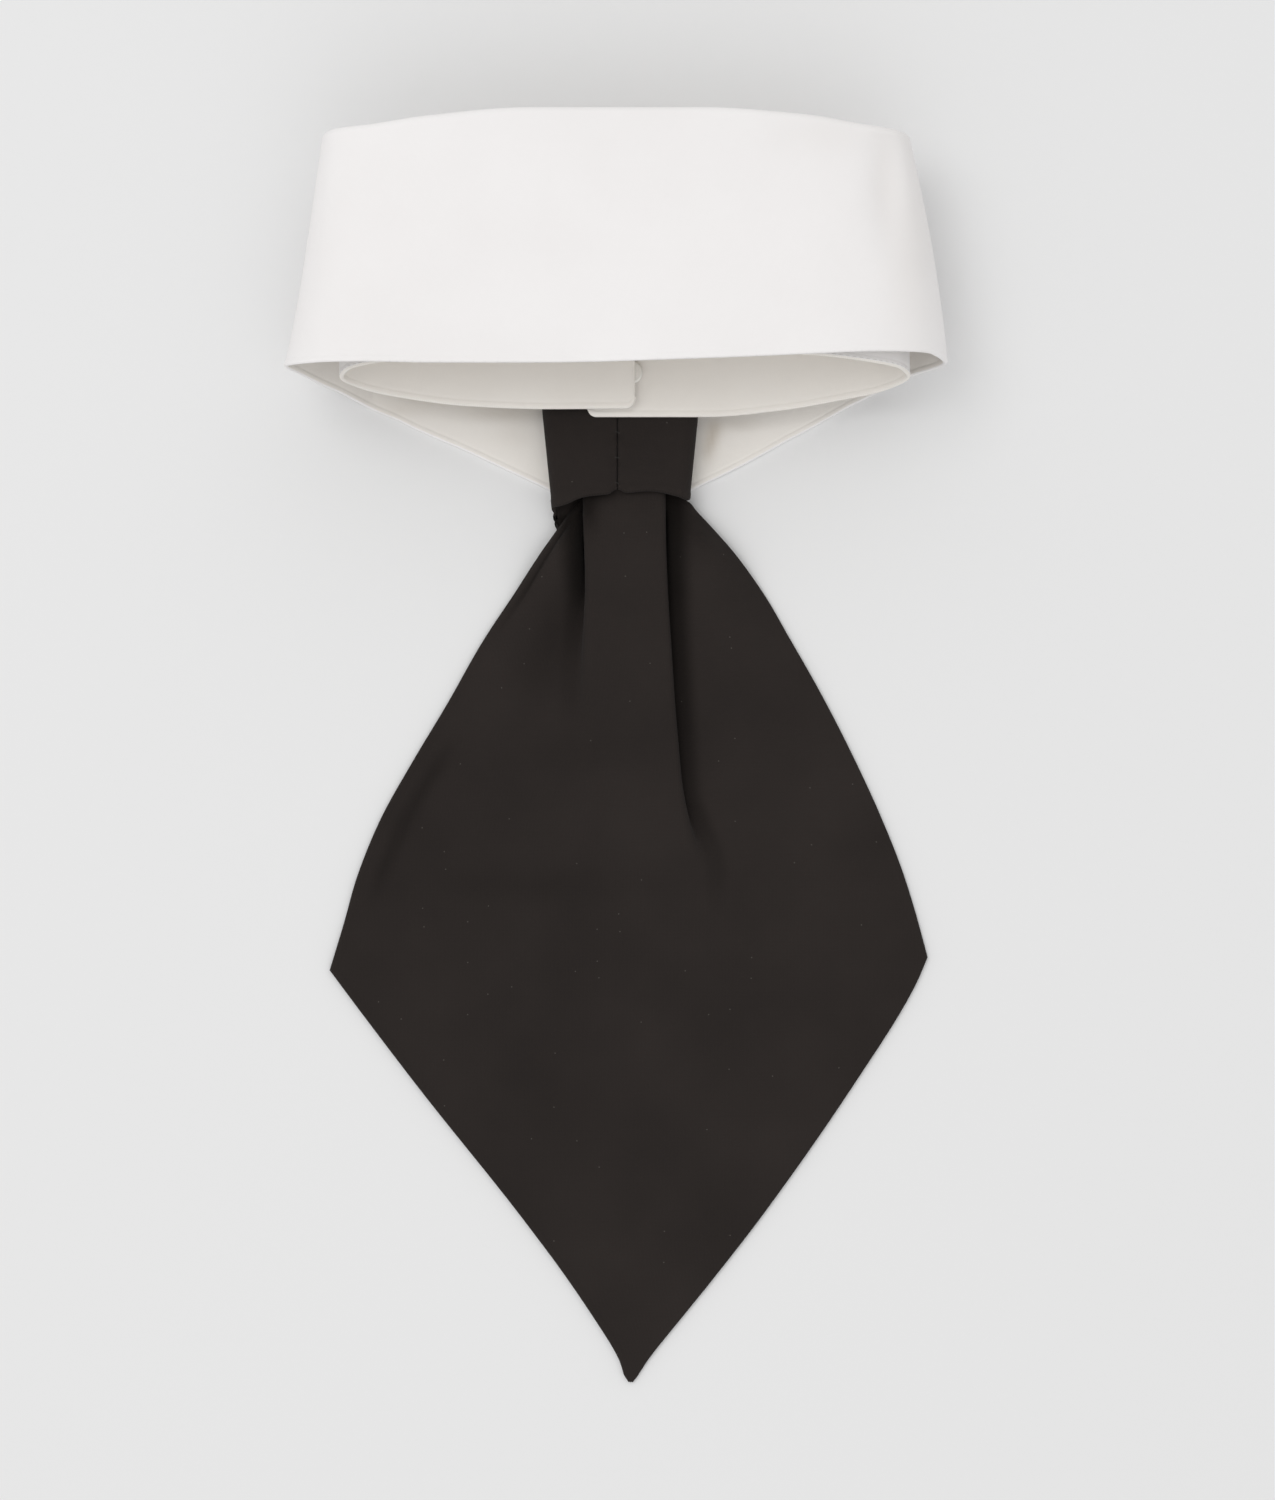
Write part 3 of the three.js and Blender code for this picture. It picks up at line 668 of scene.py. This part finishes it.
def makeFall():  # short return inside the loop, roll over the crown, outer leaf
    trim = collar["cloth"] / 2
    clear = collar["endClear"]
    start = collar["endShift"] + collar["overlap"] / 2 + collar["frontGap"] / 2
    end = loopLength - collar["endReach"] - endX - collar["frontGap"] / 2
    inner = [section["at"] for section in loop if start + clear < section["at"] < end - clear]
    stations = finerSteps([start] + inner + [end], collar["fallSteps"])
    returnRows, rollSteps = collar["returnRows"], collar["rollSteps"]

    def slide(at, down):
        fromStart = clamp(1 - (at - start) / collar["spreadReach"], 0, 1) ** 2
        fromEnd = clamp(1 - (end - at) / collar["spreadReach"], 0, 1) ** 2
        return at + collar["pointSpread"] * down * (fromStart - fromEnd)

    def wornPoint(station, near, share):  # on the outer leaf, from the fold down to the hem
        panel = crownAt(station) - collar["rimHeight"]
        down = lerp(1 - near / panel, 0, share)
        at = slide(station, down)
        hem = collar["rimHeight"] + lerp(-collar["pointDrop"], collar["hemRise"], loopAt("hem", at)) + trim
        flare = collar["hemFlare"] * loopAt("flare", at) * (1 - (1 - down) ** loopAt("curl", at))
        wave = wander(at, down * collar["waveDown"], collar["waveSize"], collar["waveSeed"])
        flare += collar["unevenness"] * wave * math.sin(math.pi * down)
        point = loopPoint(at, lerp(crownAt(at), hem, down), foldRadius + max(flare, 0)) + frameShift
        point.z = max(point.z, wingLevel)
        if point.z > collar["backAbove"]:
            point.z -= collar["dentDepth"] * spotFade(collar["dent"], point)
        return point

    grid = []
    for k in range(returnRows):
        drop = (collar["returnDepth"] - trim) * (1 - k / returnRows)
        grid.append([loopPoint(at, crownAt(at) - drop, -foldRadius) + frameShift for at in stations])
    for k in range(rollSteps + 1):
        turn = math.pi * k / rollSteps
        up, out = foldRadius * math.sin(turn), -foldRadius * math.cos(turn)
        grid.append([loopPoint(at, crownAt(at) + up, out) + frameShift for at in stations])
    for near, share in hemSteps(collar["fallRows"])[-2::-1]:
        grid.append([wornPoint(station, near, share) for station in stations])
    flat = unrolled(grid, len(stations) // 2, returnRows)

    def ridge(r, c, place):
        return edgeRidge(flat[-1][c][1] - place[1])

    # painted shade from the spot tables, with one faint warm tint on the back
    def shade(r, c):
        spots = backShadeAndTint if grid[r][c].z > collar["backAbove"] else frontShadeSpots
        return min(spotShade(spots, grid[r][c]), 1)
    return clothWall("collarFall", grid, collar["cloth"], flat, ridge, shade)


collarStand, standGrid = makeStand()
collarFall = makeFall()
# the collar's inner faces take the painted warm shade copy of the cotton
settle(collarStand, "collar_stand", "collar_cotton", shadedCotton, cotton)
settle(collarFall, "collar_fall", "collar_cotton", cotton, shadedCotton)
print("collar ready")


# knot
knot = {
    "cloth": 1.4 * mm, "foot": 42.5 * mm, "head": 54.2 * mm, "drop": 22.4 * mm, "length": 58.4 * mm,
    "apron": 15.4 * mm, "apronFlat": (8.4 * mm, 4.9 * mm),  # below the knot's edge: flat, still round
    "corner": 3.6 * mm, "cornerShare": 0.42, "slope": 1 * mm, "headPinch": 2.4 * mm, "pinchShare": 0.35,
    "aside": 0.9 * mm,  # both sides lie this far to the right of the seam
    "seamGap": 0.06 * mm, "seamDip": 0.55 * mm, "seamReach": 2.2 * mm, "pucker": 0.3 * mm,
    "notch": 1.1 * mm, "notchReach": 1.2 * mm, "hemRidge": 0.22, "ridgeFade": (1.2 * mm, 2.2 * mm),
    "underShade": 0.85, "underFade": (5.6 * mm, 7 * mm),
    "rows": 90, "topSteps": 20, "crowding": 1.5, "cornerSteps": 10, "underSteps": 24,
}
seamStitches = {
    "Stitch": 2.4 * mm, "Space": 4.8 * mm, "Radius": 0.17 * mm, "Lean": 1.1, "Stray": 0.3, "Seed": 5,
}
seamPitch = seamStitches["Stitch"] + seamStitches["Space"]
knotEdge = collar["rimHeight"] - knot["drop"]
knotHem = table(
    "around drop",
    (0, 0.02), (0.1, -0.03), (0.19, 0.07), (0.23, 0.14), (0.27, 0.12), (0.31, 0.02), (0.37, 0.2),
    (0.46, 0.9), (0.58, 1.04), (0.69, 1), (0.722, 0.97), (0.738, 0.72), (0.755, 0.3), (0.77, 0.27),
    (0.8, 0.27), (0.9, 0.08), (1, 0.02),
)


def knotRing(y):  # middle of the cloth round the knot, from the seam over the right side
    half = (lerp(knot["foot"], knot["head"], (y - knotEdge) / knot["length"]) - knot["cloth"]) / 2
    left, right = knot["aside"] - half, knot["aside"] + half
    topEdge = knotEdge + knot["length"]
    pinch = knot["headPinch"] * smoothStep(y, topEdge - knot["length"] * knot["pinchShare"], topEdge)
    slope = knot["slope"] * (1 - smoothStep(y, knotEdge, knotEdge + knot["drop"]))
    flat = 1 - smoothStep(y, *(knotEdge - below for below in knot["apronFlat"]))
    low = knotFloor + knot["cloth"] / 2 + pinch
    high = knotTop - knot["cloth"] / 2 - pinch - slope
    r = min(knot["corner"], (high - low) * knot["cornerShare"])
    seam = (knot["seamGap"] + knot["cloth"]) / 2
    topSteps, cornerSteps, underSteps = knot["topSteps"], knot["cornerSteps"], knot["underSteps"]
    points = []

    def addTop(x):
        drawn = knot["pucker"] * math.cos(2 * math.pi * y / seamPitch)
        points.append((x, high - (knot["seamDip"] + drawn) * bell(x, knot["seamReach"])))

    def addCorner(cx, cz, start, share):
        for k in range(cornerSteps + 1):
            turn = start - math.pi / 2 * k / cornerSteps
            points.append((cx + r * math.cos(turn), lerp(cz + r * math.sin(turn), low, share)))
    for k in range(topSteps):
        addTop(lerp(seam, right - r, (k / topSteps) ** knot["crowding"]))
    addCorner(right - r, high - r, math.pi / 2, 0)
    addCorner(right - r, low + r, 0, 0)
    for k in range(1, underSteps):
        points.append((lerp(right - r, left + r, k / underSteps), low))
    addCorner(left + r, low + r, -math.pi / 2, flat)
    addCorner(left + r, high - r, math.pi, 0)
    for k in range(1, topSteps + 1):
        addTop(lerp(-seam, left + r, (1 - k / topSteps) ** knot["crowding"]))
    return points


def makeKnot():
    trim = knot["cloth"] / 2
    lengths = [0]
    first = knotRing(knotEdge)
    for a, b in zip(first, first[1:]):
        lengths.append(lengths[-1] + math.hypot(b[0] - a[0], b[1] - a[1]))
    hems = []
    for s in lengths:
        hem = knotEdge - knot["apron"] * readColumn(knotHem, "around", "drop", s / lengths[-1])
        hems.append(hem + trim + knot["notch"] * bell(min(s, lengths[-1] - s), knot["notchReach"]))
    grid = []
    for step in hemSteps(knot["rows"]):
        line = []
        for i, hem in enumerate(hems):
            y = onStep(step, hem, knotEdge + knot["length"] - trim)
            x, z = knotRing(y)[i]
            line.append(Vector((x, y, z)) + frameShift)
        grid.append(line)
    flat = unrolled(grid, len(hems) // 2, 0)

    def ridge(r, c, place):
        return 1 + knot["hemRidge"] * (1 - smoothStep(place[1], *knot["ridgeFade"]))

    def shade(r, c):  # painted shade on the turned-under end of the cloth, deep below the knot
        below = knotEdge + frameShift.y - grid[r][c].y
        return knot["underShade"] * smoothStep(below, *knot["underFade"])
    return clothWall("tieKnot", grid, knot["cloth"], flat, ridge, shade), grid


tieKnot, knotGrid = makeKnot()
settle(tieKnot, "tie_knot", "tie_cloth", tieCloth, tieCloth)
print("knot ready")


# blade
blade = {
    "cloth": 1.4 * mm, "gap": 0.3 * mm, "width": 182.6 * mm,
    "cornerHeight": 127.6 * mm, "cornerSkew": 4 * mm, "tipShift": 1.4 * mm, "shift": 2.6 * mm,
    "edgeInset": 0.84 * mm, "tipInset": 0.3, "edgeShift": 0.8 * mm,
    "shiftRise": 4, "shiftFade": (0.5, 0.75),
    "tuck": 29 * mm, "tuckShares": [1.02, 1.05, 1.1, 1.15], "ramp": 18 * mm, "tipEven": (0.25, 0.55),
    "pleatDepth": 9 * mm, "pleatGap": 0.8 * mm, "pleatWidth": 25 * mm, "pleatFade": 82 * mm,
    "turnSteps": 9, "bandSteps": 22, "tipSteps": 7, "shoulderSteps": 9,
    "bandShift": 1.8 * mm, "bandCrown": 1.08 * mm, "crownReach": 62 * mm, "crownStart": (-4 * mm, 8 * mm),
    "wingArch": 5 * mm, "archStart": 2 * mm, "archFull": 16 * mm, "wingSeat": 1.2 * mm,
    "unevenness": 0.5 * mm, "waveSize": 0.045, "waveSeed": 7.5,
    "waveInside": 14 * mm, "waveLow": (6 * mm, 40 * mm), "waveHigh": 30 * mm,
    "valleyWidth": 7.5 * mm, "valleyLeast": 0.4, "valleyFade": (0.35, 1.15),
    "hemRidge": 0.3, "leftRidge": (1.1 * mm, 1.8 * mm), "rightRidge": (1.3 * mm, 2 * mm),
    "ridgeStart": (2 * mm, 9 * mm), "drawnRidge": 1.8, "drawnReach": (24 * mm, 46 * mm),
    # painted shade along the groove beside the knot and in a soft line inside the left hem
    "groovePlace": 2.3 * mm, "grooveReach": 0.6 * mm, "grooveDepth": 1.5, "grooveDark": 0.75,
    "hemLine": 6.5 * mm, "hemLineReach": 2.4 * mm, "hemLineDark": 0.4,
    "hemLineLow": (-50, -32), "hemLineHigh": (-8, 8),  # on the table, in millimetres
}
bladeShoulder = table(
    "up left right",
    (0, -0.972, 1.028), (0.1, -0.924, 0.986), (0.19, -0.884, 0.942), (0.31, -0.808, 0.868),
    (0.44, -0.694, 0.775), (0.57, -0.569, 0.672), (0.69, -0.455, 0.566), (0.78, -0.357, 0.485),
    (0.86, -0.271, 0.396), (0.91, -0.213, 0.329), (0.96, -0.158, 0.26), (0.978, -0.142, 0.239),
    (1, -0.118, 0.2), (1.2, -0.112, 0.18),
)
bladeTip = table(
    "up left right",
    (0, 0.006, 0.006), (0.005, 0.013, 0.015), (0.014, 0.023, 0.027), (0.05, 0.042, 0.061),
    (0.15, 0.126, 0.172), (0.4, 0.372, 0.451), (0.7, 0.694, 0.751), (0.93, 0.93, 0.956), (1, 1, 1),
)
leftPleat = table(
    "down depth turn drift arch",
    (-0.4, 1, 1, 0, 0.9), (0.05, 0.75, 1, 0.04, 0.9), (0.25, 0.06, 0.96, 0.15, 0.8),
    (0.45, 0.06, 0.6, 0.36, 0.45), (0.68, 0.06, 0.3, 0.64, 0.15), (1, 0.06, 0, 1, 0),
)
rightPleat = table(
    "down depth turn drift arch",
    (-0.4, 1, 1, 0, 1), (0.1, 0.85, 1, 0.06, 1), (0.5, 0.3, 1, 0.4, 0.62),
    (0.72, 0.06, 0.96, 0.68, 0.28), (0.86, 0.06, 0.6, 0.86, 0.1), (1, 0.06, 0, 1, 0),
)
pleats = (
    {"key": "left", "side": -1, "stretch": 1, "drift": 5 * mm, "rows": leftPleat},
    {"key": "right", "side": 1, "stretch": 1.4, "drift": 7 * mm, "rows": rightPleat},
)
valleys = table(  # painted shade in the two pleat valleys, by millimetres below the knot's edge
    "below left right",
    (0, 1, 1), (20, 1, 1), (28, 0.85, 1), (36, 0.45, 0.9), (48, 0.22, 0.85), (62, 0.1, 0.8),
    (74, 0, 0.72), (97, 0, 0.48), (110, 0, 0.28), (122, 0, 0.12), (132, 0, 0),
)
bladeShadeSpots = table(  # painted shade in faint soft creases and under the knot's edge, in millimetres on the table
    "x y wide high dark",
    (-55, 1.5, 7, 8, 0.15), (-28, -39.5, 32, 6, 0.2), (-16, 1.6, 16, 6, 0.12),
    (-19.5, 37, 5.5, 12, 0.26), (-26, 24, 7, 11, 0.18), (24, 68, 5, 7, 0.25),
    (-8.4, 75.5, 3.2, 6.5, 0.85), (-4, 79.3, 4.5, 2.6, 0.7), (4, 80.5, 11, 1.8, 0.45),
)
wingShares = [0, 0.006, 0.013, 0.021, 0.03, 0.04, 0.055]  # from a free edge to its pleat
wingShares += [lerp(0.055, 1, (k / 34) ** 0.85) for k in range(1, 35)]
tieFloor = knotFloor + blade["cloth"] + blade["gap"]
apronEdge = knotEdge - knot["apron"]


def pleatLine(depth, turn):  # the cloth of one pleat, laid out from its wing to the band
    steps = blade["turnSteps"]
    turnLength = math.pi * (blade["cloth"] + blade["pleatGap"]) / 2
    first = []
    for k in range(steps + 1):
        length = turnLength * k / steps
        a = turn * k / steps
        first.append((length * (math.sin(a) / a if a else 1), length * ((1 - math.cos(a)) / a if a else 0)))
    x, z = first[-1]
    end = (2 * x + depth * math.cos(turn), 2 * z + depth * math.sin(turn))
    second = [(end[0] - p[0], end[1] - p[1]) for p in reversed(first)]
    between = [(lerp(x, second[0][0], k / 4), lerp(z, second[0][1], k / 4)) for k in (1, 2, 3)]
    return first + between + second


def bladeEdge(pleat, row):  # x and y of one free edge
    side, key, trim = pleat["side"], pleat["key"], blade["cloth"] / 2
    rise = blade["cornerHeight"] + side * blade["cornerSkew"] / 2
    if "lower" in row:
        corner = blade["shift"] + side * blade["width"] / 2
        out = readColumn(bladeTip, "up", key, row["lower"])
        x = lerp(blade["shift"] + blade["tipShift"], corner, out)
        inset = min(blade["edgeInset"], blade["tipInset"] * abs(corner - blade["shift"]) * out)
        shift = blade["edgeShift"] * min(blade["shiftRise"] * out, 1)
        return x - side * inset + shift, lerp(trim, rise, row["lower"])
    share = readColumn(bladeShoulder, "up", key, row["upper"])
    shift = blade["edgeShift"] * (1 if side > 0 else 1 - smoothStep(row["upper"], *blade["shiftFade"]))
    x = share * blade["width"] / 2 - side * blade["edgeInset"] + shift
    return x, lerp(rise, knotEdge, row["upper"])


def wingLine(pleat, below, edgeX):  # from a free edge to the band, and the x of the fold's outer edge
    side, rows = pleat["side"], pleat["rows"]
    down = clamp(below / (blade["pleatFade"] * pleat["stretch"]), rows[0]["down"], 1)
    columns = ("depth", "turn", "drift", "arch")
    depth, turn, drift, arch = (readColumn(rows, "down", key, down) for key in columns)
    turn *= math.pi
    line = pleatLine(blade["pleatDepth"] * depth, turn)
    overhang = (blade["cloth"] + blade["pleatGap"] / 2) * (1 - math.cos(turn)) / 2
    start = blade["bandShift"] + side * (blade["pleatWidth"] / 2 - overhang) + pleat["drift"] * drift
    spanX = line[-1][0]
    outermost = spanX - min(x for x, z in line) + blade["wingSeat"]
    seat = start + side * min(outermost, side * (edgeX - start) - blade["wingSeat"])
    arch *= blade["wingArch"] * smoothStep(below, blade["archStart"], blade["archFull"])
    wing = [(lerp(edgeX, seat, s), arch * math.sin(math.pi * s)) for s in wingShares]
    return wing + [(start + side * (spanX - x), z) for x, z in line], start + side * outermost


def bandLine(left, right, below):  # over the band, between the tops of the two pleats
    steps = blade["bandSteps"]
    crown = blade["bandCrown"] * (1 - smoothStep(below, 0, blade["crownReach"]))
    crown *= smoothStep(below, *blade["crownStart"])
    out = []
    for k in range(1, steps):
        s = k / steps
        out.append((lerp(left[0], right[0], s), lerp(left[1], right[1], s) + crown * math.sin(math.pi * s)))
    return out


def bladeLift(x, y, middleY, fromEdge):  # slow unevenness, none near edges, tip and knot
    lift = blade["unevenness"] * (0.5 + wander(x, y, blade["waveSize"], blade["waveSeed"]))
    lift *= smoothStep(fromEdge, 0, blade["waveInside"]) * smoothStep(middleY, *blade["waveLow"])
    return max(lift * (1 - smoothStep(middleY, apronEdge - blade["waveHigh"], apronEdge)), 0)


def valleyShades(xs, below, foldEdges):  # painted shade along one row of the blade, by their distance from the folds
    out = []
    start, end = blade["valleyFade"]
    down = clamp(below / mm, 0, valleys[-1]["below"])
    dark = [readColumn(valleys, "below", key, down) for key in ("left", "right")]
    for i, x in enumerate(xs):
        mark = 0
        if min(i, len(xs) - 1 - i) < len(wingShares) + blade["turnSteps"]:
            side = 0 if i < len(xs) / 2 else 1
            wide = blade["valleyWidth"] * lerp(blade["valleyLeast"], 1, dark[side])
            mark = dark[side] * (1 - smoothStep(abs(x - foldEdges[side]), start * wide, end * wide))
        out.append(mark)
    return out


def makeBlade():
    tucked = 1 + blade["tuck"] / (knotEdge - blade["cornerHeight"])
    lowShares = finerSteps([row["up"] for row in bladeTip], blade["tipSteps"])[:-1]
    highShares = finerSteps([row["up"] for row in bladeShoulder[:-1]], blade["shoulderSteps"])
    rows = [{"lower": share} for share in lowShares]
    rows += [{"upper": share} for share in highShares + blade["tuckShares"] + [tucked]]
    grid, darks = [], []
    for row in rows:
        (leftX, leftY), (rightX, rightY) = (bladeEdge(pleat, row) for pleat in pleats)
        middleY = (leftY + rightY) / 2
        below = knotEdge - middleY
        floor = blade["cloth"] / 2 + tieFloor * smoothStep(middleY, apronEdge - blade["ramp"], apronEdge)
        left, leftFold = wingLine(pleats[0], below, leftX)
        right, rightFold = wingLine(pleats[1], below, rightX)
        points = left + bandLine(left[-1], right[-1], below) + right[::-1]
        share = (rightX - leftX) / blade["width"] if "lower" in row else 1
        even = 1 - smoothStep(share, *blade["tipEven"])
        line = []
        for i, (pointX, z) in enumerate(points):
            x = lerp(pointX, lerp(leftX, rightX, i / (len(points) - 1)), even)
            across = (x - leftX) / (rightX - leftX)
            y = lerp(leftY, rightY, across)
            lift = bladeLift(x, y, middleY, min(across, 1 - across) * (rightX - leftX))
            line.append(Vector((x, y, floor + z + lift)) + frameShift)
        grid.append(line)
        # painted shade in the pleat valleys and soft creases
        marks = valleyShades([place.x - frameShift.x for place in line], below, (leftFold, rightFold))
        darks.append([mark + spotShade(bladeShadeSpots, place) for mark, place in zip(marks, line)])
    flat = unrolled(grid, len(grid[0]) // 2, 0)
    flat = [[(spot[0], place.y) for spot, place in zip(*pair)] for pair in zip(flat, grid)]

    def fromHem(r, c, end):
        up = grid[min(r + 1, len(grid) - 1)][end] - grid[max(r - 1, 0)][end]
        slant = abs(up.y) / max(math.hypot(up.x, up.y), tiny)
        return abs(flat[r][c][0] - flat[r][end][0]) * slant

    def besideKnot(r, c):  # how much the cloth is drawn in, and a groove along the left hem
        below = knotEdge + frameShift.y - grid[r][c].y
        drawn = 1 - smoothStep(below, *blade["drawnReach"])
        return drawn, drawn * bell(fromHem(r, c, 0) - blade["groovePlace"], blade["grooveReach"])

    def ridge(r, c, place):  # turned-in edge, standing up most on the left beside the knot
        drawn, groove = besideKnot(r, c)
        onLeft = 1 - smoothStep(fromHem(r, c, 0), *blade["leftRidge"])
        onRight = 1 - smoothStep(fromHem(r, c, -1), *blade["rightRidge"])
        fromTip = smoothStep(place[1] - grid[0][0].y, *blade["ridgeStart"])
        rise = max(onLeft, onRight) + blade["drawnRidge"] * drawn * onLeft - blade["grooveDepth"] * groove
        return 1 + blade["hemRidge"] * fromTip * rise

    def shade(r, c):  # painted shade: a soft line inside the left hem above the corner, and along the groove beside the knot
        y = grid[r][c].y / mm
        line = bell(fromHem(r, c, 0) - blade["hemLine"], blade["hemLineReach"])
        line *= smoothStep(y, *blade["hemLineLow"]) * (1 - smoothStep(y, *blade["hemLineHigh"]))
        groove = blade["grooveDark"] * besideKnot(r, c)[1]
        return clamp(darks[r][c] + blade["hemLineDark"] * line + groove, 0, 1)
    return clothWall("tieBlade", grid, blade["cloth"], flat, ridge, shade, False)


tieBlade = makeBlade()
settle(tieBlade, "tie_blade", "tie_cloth", tieCloth, tieCloth)
print("blade ready")

# snap fastener keeps its solid, with its own finish
snap = bpy.data.objects["snap_fastener"]
snap.data.materials.clear()
snap.data.materials.append(dulledMetal)

# hand stitches down the knot's back seam
seamSink = 0.1 * mm
seamPath = []
for line in knotGrid[6:-2]:  # clear of the knot's two edges
    seamPath.append((line[0] + line[-1]) / 2 + Vector((0, 0, knot["cloth"] / 2 - seamSink)))
knotStitches = sewRow("knotStitches", seamPath, seamStitches, blackThread)
settle(knotStitches, None, "tie_cloth")

# fine machine stitches along the stand's rim
rimStitches = {
    "Stitch": 1.5 * mm, "Space": 0.6 * mm, "Radius": 0.11 * mm, "Lean": 0.0, "Stray": 0.03, "Seed": 2,
}
rimOut = collar["cloth"] * 0.58  # from the middle of the cloth, just past its inner face
rimLine = zip(standGrid[1], gridNormals(standGrid)[1])
rimPath = [place - normal * rimOut for place, normal in rimLine][6:-6]  # clear of both ends
rimSewing = sewRow("rimStitches", rimPath, rimStitches, whiteThread)
settle(rimSewing, None, "collar_cotton")
print("stitches ready")


# floor, light and camera
def studioFloor():
    mesh = bpy.data.meshes.new("floor")
    reach = studio["floorReach"]
    corners = [(-reach, -reach, 0), (reach, -reach, 0), (reach, reach, 0), (-reach, reach, 0)]
    mesh.from_pydata(corners, [], [(0, 1, 2, 3)])
    floor = bpy.data.objects.new("floor", mesh)
    bpy.context.scene.collection.objects.link(floor)
    material, *_, shader = newMaterial("paleFloor")
    shader.inputs["Base Color"].default_value = studio["floorColour"]
    shader.inputs["Roughness"].default_value = studio["floorRoughness"]
    shader.inputs["Specular IOR Level"].default_value = studio["floorGloss"]
    mesh.materials.append(material)


def studioLight():
    world = bpy.data.worlds.new("softSky")
    world.use_nodes = True
    sky = world.node_tree.nodes["Background"]
    sky.inputs["Color"].default_value = (1, 1, 1, 1)
    sky.inputs["Strength"].default_value = studio["worldLight"]
    bpy.context.scene.world = world
    for name, light in studio["lights"].items():
        data = bpy.data.lights.new(name, "AREA")
        data.shape = "SQUARE"
        data.size = light["size"]
        data.energy = light["power"]
        lamp = bpy.data.objects.new(name, data)
        lamp.location = light["place"]
        lamp.rotation_euler = (-Vector(light["place"])).to_track_quat("-Z", "Y").to_euler()
        bpy.context.scene.collection.objects.link(lamp)


def overheadCamera():
    data = bpy.data.cameras.new("overhead")
    data.sensor_fit = "HORIZONTAL"
    data.sensor_width = studio["sensorWidth"]
    data.lens = studio["sensorWidth"] * studio["cameraHeight"] / studio["photoWidth"]
    camera = bpy.data.objects.new("overhead", data)
    camera.location = (*studio["photoCentre"], studio["cameraHeight"])
    bpy.context.scene.collection.objects.link(camera)
    bpy.context.scene.camera = camera
    bpy.context.scene.view_settings.view_transform = "Standard"  # whites as in the photo


studioFloor()
studioLight()
overheadCamera()
print("studio ready")
